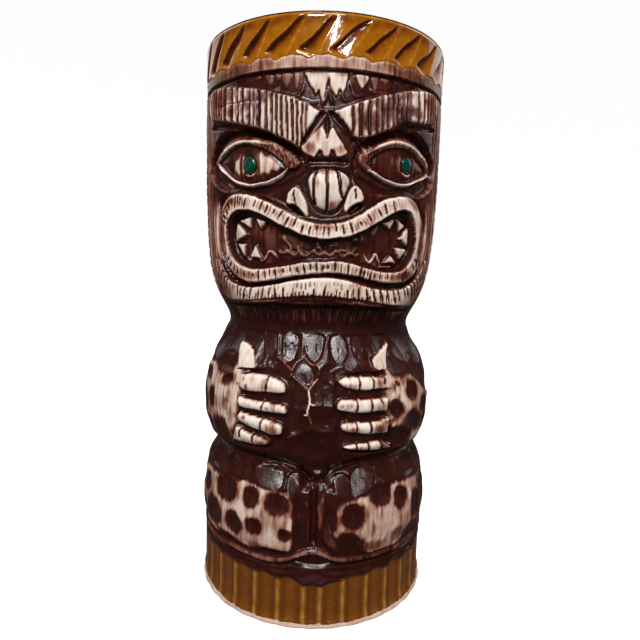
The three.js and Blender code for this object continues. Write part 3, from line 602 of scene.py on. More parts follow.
# Under the rim glaze the clay is set in, so that the glaze has room to lie.
ROPE_GOUGES = 27
ROPE_LEAN = 1.15
ROPE_PITCH = GIRTH / ROPE_GOUGES
ROPE_START = 34.2
ROPE_HEIGHT = 165.6
ROPE_FOOT = 162.8


def glaze_edge(s):
    """Height of the rim glaze's lower edge: it sags below each gouge."""
    place = ((s - (ROPE_FOOT - ROPE_HEIGHT) * ROPE_LEAN + ROPE_START) / ROPE_PITCH) % 1
    return 163.55 - 1.0 * np.exp(-((place - 0.68) / 0.19) ** 2) + 0.1 * np.sin(s * 1.9)


relief -= 2.6 * ease(0.25, 0.9, UP - glaze_edge(ACROSS))


def facets(seeds, depth, arris, low, high, wipe):
    """Adze marks that meet in sharp ridges, over a band of the wall."""
    here = window(-GIRTH, GIRTH, low, high)
    s, z = CUT_S[here], CUT_Z[here]
    first = np.full(s.shape, 1e9)
    second = np.full(s.shape, 1e9)
    for s0, z0, wide, tall in seeds:
        off = (s - s0 + GIRTH / 2) % GIRTH - GIRTH / 2
        rho = np.hypot(off / wide, (z - z0) / tall)
        second = np.minimum(second, np.maximum(first, rho))
        first = np.minimum(first, rho)
    return here, depth * np.clip(1 - first**2, -0.3, 1), ease(arris, 0, second - first) * wipe


# Chest, belly and waist: adze facets, stained dark, their ridges thin pale lines, partly rubbed clay and
# partly painted highlight.
torso = ease(88.2, 87.2, UP) * ease(49, 50, UP)
CHEST = [(-1, 85.2, 4.4, 5.4), (-10, 84.6, 5.2, 5.4), (-3.7, 77.2, 4.0, 4.4), (9, 83.8, 5, 5.6),
         (17.4, 83.6, 4.4, 6), (-17.6, 83.8, 3.6, 6), (-13, 78, 5, 4), (6, 76.6, 5, 3.6), (2.6, 71.8, 5.2, 5),
         (-6.4, 71.2, 5, 5.4), (2.4, 64.5, 5, 4.6), (-6, 63.6, 5, 4.4), (0, 57, 7, 4.6), (-26, 86, 5.5, 4.5),
         (26.5, 86.5, 6, 4.5), (-34.5, 85, 5.5, 5), (36, 84.5, 6, 5), (-43, 83, 5, 5.5), (45, 83.5, 5, 5.5)]
back_dice = np.random.default_rng(8)
for course, row in enumerate(np.arange(55, 88, 7.2)):
    for place in np.arange(54 + 4.6 * (course % 2), GIRTH - 54, 9.2):
        shift = back_dice.uniform(-2.2, 2.2, 2)
        CHEST.append((place + shift[0], row + shift[1], 5.0 + 0.3 * shift[1], 4.6 - 0.3 * shift[0]))
here, hollow, arris = facets(CHEST, 1.0, 0.12, 49, 88.5, 0.34)
relief[here] -= hollow * torso[here]
# The pale ridge lines are partly rubbed bare clay and partly painted highlight along the facet edges.
rubbed_and_highlit = np.clip(0.2 + 0.9 * mottle(51, 9, 9)[here], 0, 1)
bare[here] = np.maximum(bare[here], arris * rubbed_and_highlit * torso[here])
# Thin raised lines over the chest: the pale Y down the middle is wiped clay; the fainter pale lines along the
# other facet edges are painted highlight over a little wiped clay.
for line, wipe in (
    ([(-7.6, 77.4), (-7.4, 78.8), (-5.6, 80.8), (-4, 81.3)], 0.25),
    ([(-4, 81.2), (-1.8, 79.8), (-0.3, 79.5), (1.8, 81.2)], 0.2),
    ([(-7.2, 76.2), (-4.6, 74.2), (-2.1, 72.5)], 0.3), ([(-2.1, 72.5), (-0.6, 74.6), (0.8, 75.7)], 0.6),
    ([(-2.1, 72.7), (-1.8, 70.4), (-1.6, 69)], 0.95), ([(-1.9, 69.2), (-0.4, 68.4), (0.3, 68.6)], 0.9),
    ([(-1.6, 69.2), (-2.2, 67), (-2.3, 65.6), (-3.4, 65.4)], 0.9),
    ([(-2.3, 66.2), (-1.4, 64), (-0.8, 62.4)], 0.35),
    ([(-13.8, 81.5), (-10.5, 79.6), (-7.6, 77.8)], 0.3), ([(-15.2, 87.6), (-14, 84.6), (-13.4, 82)], 0.16),
    ([(-20.6, 87.4), (-18.6, 83.4), (-17.6, 77.8)], 0.2), ([(3.4, 87), (2.9, 83.4), (1.6, 80.6)], 0.2),
    ([(4.2, 77.4), (6.6, 78.6), (9.2, 79)], 0.12), ([(15.6, 87.6), (15.2, 83), (15.6, 79)], 0.16),
):
    bead(line, 0.38, 0.32, wipe=wipe, taper=0.1)


def chip(points, level, rise, lean, wipe=None):
    """One flat adze cut: a plane through the middle of the outline, rising upward and leaning across."""
    outline = rounded(points, True, 2)
    here = span_of(outline, 1.2)
    s, z = CUT_S[here], CUT_Z[here]
    middle_s, middle_z = outline.mean(0)
    share = ease(-0.35, 0.35, depth_in(s, z, outline))
    plane = level + rise * (z - middle_z) + lean * (s - middle_s)
    relief[here] += (plane - relief[here]) * share
    if wipe is not None:
        bare[here] += (wipe - bare[here]) * share


for outline, level, rise, lean in (
    ([(-13.4, 88), (-8.0, 88.2), (-6.4, 83.2), (-7.8, 79.4), (-10.4, 79.8), (-12.6, 83)], -0.5, 0.13, -0.14),
    ([(-5.2, 88), (2.2, 88.2), (2.4, 83.6), (0.6, 80.6), (-1.0, 79.8), (-3.6, 81.8), (-4.6, 85)], -0.6, 0.13,
     -0.06),
    ([(4.4, 88), (9.6, 88), (11.4, 83.6), (9.2, 80.2), (6.2, 79.6), (4.4, 82.6)], -0.5, 0.06, 0.16),
    ([(-6.6, 77.6), (-5, 80.2), (-1.2, 78.8), (0.2, 75.6), (-1.8, 73.2), (-5.2, 74.6)], -0.7, 0.0, -0.02),
    ([(12.6, 87.8), (16.6, 87.6), (18.2, 83.4), (16, 79.6), (13.2, 80.4), (12.4, 84)], -0.4, 0.0, 0.14),
    ([(-20.4, 87.6), (-15.6, 88), (-14.2, 83.6), (-15.6, 79.6), (-18, 80), (-19.6, 83.4)], -0.4, 0.0, -0.14),
):
    chip(outline, level, rise, lean)


def scoops(marks, depth, stain=0.88, soft=0.08, soft_band=0.25):
    """Oval hollows struck with a round tool: across, up, half width, half height, turn in degrees."""
    for s0, z0, wide, tall, turn in marks:
        reach = max(wide, tall) * 1.5
        here = window(s0 - reach, s0 + reach, z0 - reach, z0 + reach)
        s, z = CUT_S[here] - s0, CUT_Z[here] - z0
        c, n = math.cos(math.radians(turn)), math.sin(math.radians(turn))
        along, over = np.abs(s * c + z * n) / wide, np.abs(z * c - s * n) / tall
        rho = (along**2.5 + over**2.5) ** 0.4
        frayed = rho + 0.05 * FRAY[here] * (1 + 6 * soft)
        relief[here] -= depth * np.clip(1 - rho**2, 0, 1)
        bare[here] *= 1 - stain * ease(1 + soft, 1 - soft, frayed)
        bare[here] *= 1 - soft_band * ease(1.45, 1.0, frayed)


# Arms: forearms laid across the belly, bare clay struck with stained hollows, and the dark upper arms.
LEFT_ARM = [(-24.5, 78), (-27.6, 77.6), (-31, 75.4), (-36, 75.8), (-44, 76.2), (-52, 76), (-57, 66),
            (-52, 57), (-42, 54.6), (-34, 52.8), (-27, 53.6), (-25.6, 60), (-24.2, 66), (-24.6, 72)]
RIGHT_ARM = [(23, 78.4), (26.5, 75.6), (32, 75.2), (36.6, 75.8), (42, 70.4), (50, 67.6), (57, 66), (56, 56),
             (46, 53.6), (36, 52.8), (27, 53), (23.5, 59), (22.6, 66), (22.6, 72)]
for arm in (LEFT_ARM, RIGHT_ARM):
    carve(arm, level=0.5, wipe=0.84, slope=1.8, fade=1.6)
smoke([(-44, 60, 10, 12, 0, 0.25), (-33, 65, 3.6, 3, 0, 0.2), (-35, 72.6, 6, 2.4, 0, 0.2),
       (-30.6, 72.8, 3.2, 2.4, 20, 0.35), (-52, 66, 5, 12, 0, 0.35), (-31, 57.4, 3, 2.4, 0, 0.2),
       (31, 74.4, 3, 2.4, 0, 0.35), (40, 66, 8, 8, 0, 0.2), (50, 62, 6, 12, 0, 0.55), (30, 61, 3, 3, 0, 0.25),
       (24.6, 77, 1.6, 3, 0, 0.3)])
scoops([(-40, 65.8, 2.3, 3.0, 0), (-33.6, 55.8, 4.8, 4.2, 10), (-34, 77.8, 5.2, 3.4, 0),
        (-31, 72.8, 2.8, 1.5, 24), (-48.5, 62.5, 3.4, 4.2, 0), (-46, 72.5, 3.6, 2, 0), (-52.5, 70, 2.6, 3, 0),
        (-43.5, 56.5, 3.2, 2, 0), (26.4, 66.1, 3.5, 2.5, -38), (34.6, 70.4, 3.3, 2.7, -25),
        (28.6, 56.8, 6.0, 3.2, -14), (36.6, 60.4, 5.8, 2.9, -24), (29.4, 80.6, 5.6, 4.6, 0),
        (43.6, 64.4, 3.4, 2.8, -20), (46.5, 58.5, 3.4, 2.6, 0), (52, 63, 3, 3, 0), (40.6, 77, 5.4, 4, -30)],
       0.85, soft=0.2, soft_band=0.4)
for blotch, wipe in (([(-33, 67), (-28.4, 67), (-28.2, 63), (-32, 63.4)], 0.6),
                     ([(26, 74.6), (29, 73.6), (28.6, 72), (26.6, 72.8)], 0.3)):
    carve(blotch, wipe=wipe, slope=1.4)

# Hands: four fingers each way with knuckle cuts, black gaps between them, and a thumb pointing up.
for gap in ([(-27.4, 77.4), (-8.6, 77.2), (-6.6, 72), (-7.2, 58.4), (-12.4, 54.6), (-20, 53.6), (-28.6, 54),
             (-25.4, 66)],
            [(24.4, 77.6), (7.0, 77.4), (5.2, 71), (6.2, 58.6), (9, 54), (20, 52.8), (27, 53.4), (24.2, 66)]):
    carve(gap, level=-1.3, wipe=0.04, slope=1.2)
FINGERS = (
    ([(-25.6, 75.2), (-23, 75.4), (-19.6, 76.0), (-15, 75.6), (-11.6, 75.2), (-9.4, 73.8), (-9.1, 71.6),
      (-10.4, 70.9), (-17, 70.9), (-24.2, 70.5), (-25.8, 72)], [(-15, 75.7), (-15.2, 70.7)]),
    ([(-24.8, 68.6), (-16, 68.5), (-10.4, 68.2), (-8.6, 67.8), (-8.3, 65.8), (-9.4, 65.3), (-16, 65.5),
      (-24.2, 65.3), (-25.2, 67)], [(-15.6, 68.8), (-16, 65)]),
    ([(-24.2, 64.1), (-16.4, 63.2), (-14.4, 63.2), (-10.2, 62.4), (-9.4, 61), (-10, 58.9), (-13, 58.4),
      (-16.6, 59.4), (-24.8, 60.6), (-25.4, 62.4)], [(-15.8, 63.6), (-16.6, 58.9)]),
    ([(-26, 59.4), (-22, 58.1), (-18.4, 57.6), (-14.6, 57), (-14, 55.4), (-17, 54.4), (-22, 54.1),
      (-28.6, 54.2)],
     [(-19.5, 58.4), (-19.6, 54)]),
    ([(24, 75.8), (18, 76.1), (10, 76.4), (7.3, 76), (6.6, 74.8), (8.6, 73.2), (12, 72.6), (18, 72.2),
      (24, 72.4)],
     [(13.3, 76.4), (13.3, 72.4)]),
    ([(23.4, 69.6), (18, 69.7), (8, 70.1), (6.4, 69.4), (6.3, 67.4), (7.6, 66.5), (13, 66), (22.6, 65.8)],
     [(12.3, 70), (12.3, 66)]),
    ([(23.6, 63.8), (19, 63), (12, 63.4), (8.4, 63.4), (7.2, 62.2), (8.2, 60.6), (12, 60), (18, 59),
      (23.4, 59)],
     [(12.4, 63.6), (12.3, 59.8)]),
    ([(26.8, 53.3), (22, 57), (14, 56.7), (9.6, 56.4), (8.6, 56), (9.2, 55.2), (13, 54.2), (20, 53.6)],
     [(12.8, 57), (13, 54)]),
)
for outline, knuckle in FINGERS:
    carve([outline[0], *outline, outline[-1]], level=-0.3, wipe=1.0, slope=0.8, dome=1.4)
    groove(knuckle, 0.42, 0.45, stain=0.8, wipe=0.15, taper=0.02)
for knuckle in ([(18, 76.2), (17.8, 72.2)], [(17.0, 69.6), (16.9, 65.8)], [(16.8, 63.2), (16.9, 59.2)],
                [(16.6, 57), (17.2, 53.6)], [(20.8, 57), (21.6, 53.6)], [(-24, 59), (-24.4, 56)],
                [(22.8, 75.4), (21.6, 74)], [(20.4, 70), (20.4, 68.6)]):
    groove(knuckle, 0.45, 0.4, stain=0.85, wipe=0.1, taper=0.05)
smoke([(-16, 73.2, 1.2, 2.6, 0, 0.3), (-22, 71.2, 4, 0.8, 0, 0.3), (-12, 67, 3.6, 1.0, 0, 0.25),
       (-12.4, 61, 2.2, 2.6, 20, 0.4), (-21, 66.8, 1.4, 1.2, 0, 0.25), (-17.6, 56, 2.2, 2, 0, 0.35),
       (-15.4, 55.6, 1.6, 1.6, 0, 0.5), (20.6, 74.2, 2.6, 2.2, 0, 0.45), (10, 73.6, 3, 1, 0, 0.35),
       (20, 67.4, 2.6, 2, 0, 0.3), (9, 68.4, 2.4, 1, 0, 0.25), (20.6, 61.4, 3, 2.4, 0, 0.4),
       (11, 61, 3, 1, 0, 0.3), (23, 55, 3, 2, 0, 0.35), (14, 55, 2, 1.6, 0, 0.3)])
for palm in ([(-29.4, 78), (-24.8, 78.2), (-23.6, 75), (-24.6, 70), (-24.8, 65), (-25.4, 59.6), (-28.8, 54.2),
              (-30.6, 60), (-29.4, 68), (-28, 73)],
             [(22.6, 78.8), (25.4, 76), (27.4, 70), (28.4, 64), (27.6, 60.4), (23.4, 61), (22.6, 65.6),
              (23, 70)]):
    carve(palm, level=0.6, wipe=0.9, slope=3.4, fade=2.4)
smoke([(-28.4, 73.4, 2.2, 2.0, 0, 0.4), (-28.6, 62.6, 1.8, 3.4, 0, 0.35), (-29.6, 68, 1.6, 2.4, 0, 0.3),
       (-26.6, 57.4, 1.6, 2.2, 0, 0.35), (25.2, 62.6, 2, 1.6, 0, 0.3), (25.2, 72.4, 1.6, 2, 0, 0.35)])
scoops([(26.4, 66.1, 3.5, 2.5, -38), (28.6, 56.8, 6.0, 3.2, -14)], 0.5)
hands = window(-27, 28, 53, 85)
cracked = ease(0.35, 0.8, mottle(24, 1.3, 1.9)[hands] + 0.3 * FRAY[hands])
bare[hands] *= 1 - 0.34 * cracked
relief[hands] -= 0.12 * cracked
carve([(-31.2, 84.6), (-27, 83.8), (-24, 83.2), (-22, 81.4), (-20.2, 78.2), (-20.3, 77), (-24, 76.7),
       (-27.4, 77.2), (-28.4, 79.6)], level=0.7, wipe=1.0, slope=1.0, times=2)
carve([(28.6, 85.6), (26, 84.6), (22, 82.4), (19.2, 81.4), (18.8, 79.6), (20, 77.9), (23.6, 77.4),
       (24.6, 80.2), (25.8, 82.4)], level=0.6, wipe=0.9, slope=0.9, times=2)
groove([(-27.6, 76.5), (-24, 76.4), (-20, 77)], 0.35, 0.35, stain=0.8)
groove([(19, 77.6), (21.6, 77), (23.6, 76.4)], 0.4, 0.4, stain=0.9)

# Waist and thighs: dark facets above, bare lobes struck with stained hollows, parted by a cleft.
LEFT_THIGH = [(-6.6, 23.6), (-5.4, 26.8), (-6.2, 29.6), (-5.5, 32.4), (-6.2, 35.8), (-6.2, 39.8), (-9, 41.6),
              (-16, 42.4), (-20, 42.8), (-26, 42.2), (-34, 40.8), (-42, 41.2), (-52, 40), (-56, 30),
              (-52, 22), (-40, 21.8), (-28, 22.4), (-16, 23.2), (-10, 23.6)]
RIGHT_THIGH = [(5.4, 29), (6.4, 33), (7.0, 37.4), (10.6, 39.4), (18, 40.6), (25, 42.2), (33, 41.4),
               (42, 40.6), (52, 40), (56, 30), (52, 22.4), (40, 21.8), (28, 21.6), (18, 22.0), (14, 24.4),
               (12, 28)]
thigh_swell = np.exp(-(((np.abs(ACROSS - 1) - 21) / 15) ** 2 + ((UP - 33) / 11) ** 2))
relief += 0.7 * thigh_swell
for thigh in (LEFT_THIGH, RIGHT_THIGH):
    carve(thigh, add=0.25, wipe=0.82, slope=1.4, fade=1.4)
smoke([(-12, 33.6, 6, 3.4, 0, 0.2), (-22, 26.4, 8, 2.2, 0, 0.12), (-43, 33, 6, 10, 0, 0.3),
       (-9, 26, 3, 1.6, 0, 0.12), (-16, 24, 9, 1.4, 0, 0.25), (21, 32, 8, 6, 0, 0.15),
       (17, 24.6, 8, 2, 0, 0.4), (32, 30, 6, 6, 0, 0.2), (45, 32, 7, 10, 0, 0.6),
       (29, 26.6, 3.2, 2.4, 0, 0.45)])
HIPS = [(-13, 46, 5.4, 3.6), (-27, 46, 7, 4.4), (-40, 45.6, 6.4, 4.4), (-3.4, 44.6, 4, 4.6), (16, 45, 4.4, 4),
        (7.6, 42.6, 4, 4), (27, 46.5, 5.6, 3.6), (38, 45.4, 6, 4.6), (48, 45.4, 5.4, 4.4),
        (-50, 45.2, 5.2, 4.6)]
for course, row in enumerate((45.5, 38.4, 31.0, 24.0)):
    for place in np.arange(58 + 4.8 * (course % 2), GIRTH - 58, 9.6):
        shift = back_dice.uniform(-2, 2, 2)
        HIPS.append((place + shift[0], row + shift[1] * 0.7, 5.4 + 0.3 * shift[1], 4.4 - 0.3 * shift[0]))
here, hollow, arris = facets(HIPS, 1.3, 0.1, 17, 49, 0.34)
hips = np.maximum(ease(41.4, 42.6, UP[here]), ease(55, 60, np.abs(ACROSS[here]))) * ease(48.6, 47, UP[here])
relief[here] -= hollow * hips
# The pale ridge lines between the hip facets are partly rubbed bare clay and partly painted highlight.
rubbed_and_highlit = np.clip(0.1 + 0.9 * mottle(61, 10, 8)[here], 0, 1)
bare[here] = np.maximum(bare[here], arris * hips * rubbed_and_highlit)
scoops([(-30.2, 38.4, 5.4, 3.6, 4), (-19.5, 38.7, 2.8, 2.9, 0), (-10.7, 38.0, 3.9, 2.9, -6),
        (-25.6, 29.4, 3.7, 3.2, -32), (-17.8, 30.3, 2.8, 2.5, 0), (-8.0, 29.1, 1.9, 1.9, 0),
        (-36.8, 29.0, 5.2, 4.4, 0), (-12, 22.6, 5.0, 1.6, 0), (-28.8, 22, 6, 2.6, 0), (-44, 36, 3.4, 3.0, 0),
        (-48, 26, 4.6, 4, 0), (-52, 35, 3, 3.4, 0), (12.2, 35.0, 3.7, 3.6, -20), (21.8, 40, 4.0, 3.4, 0),
        (30.3, 37.1, 3.4, 3.3, -25), (11.2, 26.4, 4.7, 3.5, -30), (39.4, 32.2, 3.6, 4.4, 0),
        (37, 22.8, 6.0, 3.8, 0), (47, 36, 4, 4, 0), (50, 27, 4, 4, 0)], 0.6, soft=0.14)

for outline, level, rise, lean in (
    ([(-19.6, 47.4), (-14.4, 49), (-9.8, 47.6), (-9.2, 42.2), (-14, 41.4), (-18.2, 42.8)], 0.0, -0.24, -0.17),
    ([(11.4, 43.4), (13.4, 48.4), (20.8, 46.6), (19.2, 42.4), (14.4, 40.0), (11.6, 40.6)], 0.1, -0.24, 0.3),
    ([(-30.6, 48.6), (-21.6, 48.8), (-20.6, 43.6), (-25, 42.4), (-30.4, 43.6)], 0.1, -0.2, -0.1),
    ([(-8.2, 47), (-4.2, 46), (-4.0, 40.6), (-6.8, 39), (-8.6, 42)], -0.3, -0.2, 0.06),
    ([(6.4, 46.4), (11.4, 47.2), (12.2, 42), (10, 40), (6.6, 40.6)], -0.2, -0.22, 0.0),
    ([(23.4, 48.6), (31, 48.6), (31.4, 44), (26.6, 42.6), (22.2, 43.6)], 0.1, -0.2, 0.12),
):
    chip(outline, level, rise, lean, wipe=0.04)

# Fold between belly and thighs: a deep valley that dips to the cleft.
for fold in ([(-70, 49.6), (-45, 49.8), (-28, 50.0), (-14, 49.8), (-6, 48.2), (-1.4, 44.6)],
             [(72, 49.6), (46, 49.8), (28, 50.2), (14, 49.9), (6.4, 48.0), (2.8, 44.6)]):
    groove(fold, 2.4, 1.3, taper=0)
    groove(fold, 0.9, 0.9, taper=0)

# Cleft between the thighs, with its rolled ridge and flanking hollows.
carve([(-5.6, 23.6), (-5.6, 31), (-6.4, 38), (-3.5, 44), (1, 46.4), (5, 43.6), (5.6, 40), (5.0, 34),
       (4.0, 30), (6, 24.6), (0.8, 24.2)], add=-1.1, wipe=0.05, slope=3.6)
groove([(0.9, 45.4), (0.1, 40), (0.6, 34), (0.1, 29), (0.7, 25)], 1.4, 1.3, taper=0.1)
bead([(3.4, 41.6), (2.6, 36), (3.0, 31), (5.4, 27.4), (8.0, 24.2)], 1.7, 0.8, wipe=0.24)
bead([(-2.6, 40), (-2.2, 34), (-2.8, 27)], 1.6, 0.5)
scoops([(-3.6, 28.6, 2.1, 3.7, 0), (5.2, 33.8, 2.0, 3.2, 0), (-3.6, 37.2, 2.2, 4, 0)], 0.5)

# Skirt hem above the plinth: a rolled wavy lip over a dark groove, shallow scallops round the sides and back,
# and a dark lens with a pointed pendant under it in the middle.
HEM = [(-60, 20.4), (-48, 20.2), (-36, 20.0), (-26, 20.8), (-18, 20.4), (-11, 20.4), (-6.6, 21.4),
       (-3.4, 23.4), (0.4, 24.7), (4.2, 23.4), (7.4, 21.4), (12, 21), (22, 21.1), (34, 20.9), (46, 20.6),
       (60, 20.4)]
bead(HEM, 1.0, 0.8, wipe=0.34, taper=0.03)
bead([(s, z - 0.5) for s, z in HEM], 0.3, 0.15, wipe=0.66, taper=0.03)
smoke([(18, 21, 12, 1.4, 0, 0.6), (-34, 20.4, 8, 1.4, 0, 0.5), (-6, 21.4, 3, 1.4, 0, 0.3),
       (46, 20.6, 14, 1.4, 0, 0.6), (0.4, 24.6, 3, 1, 0, 0.3)])
groove([(s, z - 1.35) for s, z in HEM], 0.85, 0.9, stain=0.97, taper=0.03)
band = ease(16.2, 16.9, UP) * ease(19.6, 18.8, UP)
relief += 0.35 * band
for side in (-1, 1):
    for lens in np.arange(66, 122, 16):
        bead([(side * (lens - 7), 20.6), (side * lens, 21.8), (side * (lens + 7), 20.6)], 0.8, 0.5, wipe=0.3)
carve([(-5.6, 20.6), (-5.6, 20.6), (-2.6, 22.6), (0.6, 23.4), (4, 22.4), (7, 20.4), (7, 20.4), (3.8, 19.8),
       (0.8, 19.4), (-2.4, 19.8)], level=-0.5, wipe=0.04, slope=0.8)
carve([(-9.5, 16.6), (-5, 18.0), (-2, 18.6), (0.8, 19.2), (3.6, 18.6), (7, 17.8), (10.5, 16.6), (6, 15.0),
       (0, 14.6), (-5, 15.2)], level=0.6, wipe=0.05, slope=0.9)

# Over the plinth the clay's edge hugs the round top of each flute and hangs lower in the middle. Below the
# edge it is set in, so that the foot glaze has room to lie.
FRONT_RIDGES = (-54.6, -48, -41, -33.5, -25.7, -17.8, -10.1, -2.1, 2.9, 9.9, 17.8, 25.4, 33, 40.2, 47.6)
BACK_RIDGES = 17
ridges = np.concatenate([FRONT_RIDGES, np.linspace(47.6, GIRTH - 54.6, BACK_RIDGES + 2)[1:]])
ridges = np.where(ridges > GIRTH / 2, ridges - GIRTH, ridges)
ridges = np.sort(ridges[:-1])
ridges = np.append(ridges, ridges[0] + GIRTH)


def flute_at(s):
    """Distance to the nearest ridge between flutes, and half the width of the flute here."""
    number = np.searchsorted(ridges, s, side="right") - 1
    left = np.where(number < 0, ridges[-1] - GIRTH, ridges[np.maximum(number, 0)])
    right = np.where(number < 0, ridges[0], ridges[np.minimum(number + 1, len(ridges) - 1)])
    return np.minimum(s - left, right - s), (right - left) / 2


def hem_edge(s):
    """Height of the clay's lower edge round the plinth."""
    to_ridge, half = flute_at(s)
    arch = np.sqrt(1 - (1 - np.clip(to_ridge / half, 0, 1)) ** 2)
    hang = 1.2 * np.exp(-((s - 1) / 15) ** 2) + 1.5 * np.clip(1 - np.abs(s - 1.6) / 8, 0, 1)
    return 15.6 - hang + 1.1 * arch + 0.2 * np.sin(s * 0.7)


skirt = ease(17.6, 16.6, UP)
relief += (0.75 - relief) * skirt
bare *= 1 - 0.95 * skirt
chip([(-5.6, 15.6), (-5.6, 15.6), (0.9, 17.7), (0.9, 17.7), (7.4, 15.6), (7.4, 15.6), (1.2, 12.4)], 0.9,
     -0.34, 0)
relief -= 2.4 * ease(0.35, -0.35, UP - hem_edge(ACROSS))

# Fine tooling over everything: hand wobble, brush-wiped streaks, and stain left lying in every hollow.
relief += 0.07 * mottle(71, 5, 5) + 0.03 * mottle(72, 1.5, 1.5)
bare -= 0.24 * np.clip(mottle(81, 0.8, 5), 0, 1) + 0.1 * np.clip(mottle(82, 3, 3), 0, 1)
bare -= 0.16 * np.clip(mottle(83, 0.42, 3.4), 0, 1) * (bare > 0.3)
on_head = ease(91, 98, UP) * ease(160, 158, UP)
bare += on_head * 0.13 * np.clip(0.35 + mottle(84, 4, 6) + 0.5 * mottle(85, 0.9, 4), 0, 1) * (bare < 0.3)
settled = relief.copy()
for _ in range(10):
    settled[1:-1] = (settled[:-2] + settled[2:] + 2 * settled[1:-1]) / 4
    settled = (np.roll(settled, 1, 1) + np.roll(settled, -1, 1) + 2 * settled) / 4
hollow_here = settled - relief
bare -= 0.9 * ease(0.05, 0.3, hollow_here)
bare += 0.12 * ease(0.08, 0.3, -hollow_here) * (bare > 0.02)
bare = np.clip(bare, 0, 1)


def woven(name, rings, values, shares):
    """A closed mesh from rings of points, its first and last rings drawn in to one point on the axis. Each
    ring point has a value, kept as the attribute bare, and each ring has its share of the map's height."""
    count, columns = rings.shape[:2]
    spots = np.concatenate([rings[1:-1].reshape(-1, 3), rings[:1, :1].reshape(-1, 3),
                            rings[-1:, :1].reshape(-1, 3)])
    tints = np.concatenate([values[1:-1].ravel(), values[0, :1], values[-1, :1]])
    low_pole, high_pole = len(spots) - 2, len(spots) - 1
    row, column = np.meshgrid(np.arange(count - 3), np.arange(columns), indexing="ij")
    after = (column + 1) % columns
    quads = np.stack([row * columns + column, row * columns + after, (row + 1) * columns + after,
                      (row + 1) * columns + column], -1).reshape(-1, 4)
    one = np.arange(columns)
    two = (one + 1) % columns
    last = (count - 3) * columns
    low_fan = np.stack([np.full(columns, low_pole), two, one], -1)
    high_fan = np.stack([last + one, last + two, np.full(columns, high_pole)], -1)
    corners = np.concatenate([quads.ravel(), low_fan.ravel(), high_fan.ravel()])
    sizes = np.concatenate([np.full(len(quads), 4), np.full(2 * columns, 3)])
    mesh = bpy.data.meshes.new(name)
    mesh.vertices.add(len(spots))
    mesh.vertices.foreach_set("co", (spots * MM).astype(np.float32).ravel())
    mesh.loops.add(len(corners))
    mesh.loops.foreach_set("vertex_index", corners.astype(np.int32))
    mesh.polygons.add(len(sizes))
    mesh.polygons.foreach_set("loop_start", np.concatenate([[0], np.cumsum(sizes)[:-1]]).astype(np.int32))
    mesh.update(calc_edges=True)
    mesh.polygons.foreach_set("use_smooth", np.ones(len(sizes), bool))
    mesh.attributes.new("bare", "FLOAT", "POINT").data.foreach_set("value", tints.astype(np.float32))
    inner = shares[1:-1]
    u = np.stack([column, column + 1, column + 1, column], -1).reshape(-1, 4) / columns
    v = np.stack([inner[row], inner[row], inner[row + 1], inner[row + 1]], -1).reshape(-1, 4)
    low_u = np.stack([one + 0.5, one + 1, one], -1) / columns
    low_v = np.tile([shares[0], inner[0], inner[0]], (columns, 1))
    high_u = np.stack([one, one + 1, one + 0.5], -1) / columns
    high_v = np.tile([inner[-1], inner[-1], shares[-1]], (columns, 1))
    chart = np.stack([np.concatenate([u.ravel(), low_u.ravel(), high_u.ravel()]),
                      np.concatenate([v.ravel(), low_v.ravel(), high_v.ravel()])], -1)
    mesh.uv_layers.new(name="OFBake").data.foreach_set("uv", chart.astype(np.float32).ravel())
    mesh.validate()
    piece = bpy.data.objects.new(name, mesh)
    bpy.context.scene.collection.objects.link(piece)
    return piece


def turn_out(radius, angle, height):
    """Points at these radii, angles and heights, the face looking along -Y."""
    radius, angle, height = np.broadcast_arrays(radius, angle, height)
    return np.stack([radius * np.sin(angle), -radius * np.cos(angle), height], -1)


WALL = 4.7
FLOOR = 6.5
FOOT_RECESS = 1.5
RIM_CLAY = 36.2
LIP = TOP - 1.1
FOOT_BARE = 0.68
INSIDE_BARE = 0.3
angles = (across - DATUM_TO_NOSE) / UNROLL_RADIUS
cavity_heights = np.concatenate([[LIP], np.arange(170, 14, -3.0)])
under = [(0, FOOT_RECESS), (12, FOOT_RECESS), (24, FOOT_RECESS), (30, FOOT_RECESS), (31.2, FOOT_RECESS - 0.3),
         (32, 0.4), (32.7, 0.0), (37.6, 0.0), (38.5, 0.1), (38.85, 0.35), (38.85, 0.65), (38.6, 0.95),
         (38.1, 1.25), (37.3, 1.6), (36.6, 2.2), (36.2, 3.0), (36.2, FOOT_TOP - 0.6)]
over = [(RIM_CLAY + 0.4, RIM_FOOT + 0.4), (RIM_CLAY, RIM_FOOT + 1), (RIM_CLAY, LIP - 0.6),
        (RIM_CLAY - 0.6, LIP), (trunk(LIP) - WALL + 0.4, LIP)]
inside = [(float(trunk(z)) - WALL, z) for z in cavity_heights[1:]]
inside += [(32.2, 11), (31.0, 8.8), (28.8, 7.2), (26, FLOOR), (14, FLOOR), (0, FLOOR)]
profile_low, profile_high = np.array(under, float), np.array(over + inside, float)
to_ridge, half_flute = flute_at(across)
lobes = 0.35 * (np.sqrt(np.clip(to_ridge / half_flute, 0, 1)) - 0.6) * ease(37, 38.3, profile_low[:, :1])
rings = np.concatenate([
    turn_out(profile_low[:, :1] + lobes, angles, profile_low[:, 1:]),
    turn_out(trunk(UP) + relief, angles, UP),
    turn_out(profile_high[:, :1], angles, profile_high[:, 1:]),
])
tint = np.concatenate([np.full((len(under), len(across)), FOOT_BARE), bare,
                       np.full((len(over + inside), len(across)), INSIDE_BARE)])
shares = np.concatenate([np.linspace(0, 0.05, len(under)), np.linspace(0.055, 0.93, len(up)),
                         np.linspace(0.935, 1, len(over + inside))])
clay_body = woven("clay_body_carved", rings, tint, shares)


def blank_material(name):
    material = bpy.data.materials.new(name)
    material.use_nodes = True
    tree = material.node_tree
    tree.nodes.clear()
    shader = tree.nodes.new("ShaderNodeBsdfPrincipled")
    out = tree.nodes.new("ShaderNodeOutputMaterial")
    tree.links.new(shader.outputs["BSDF"], out.inputs["Surface"])
    return material, tree, shader


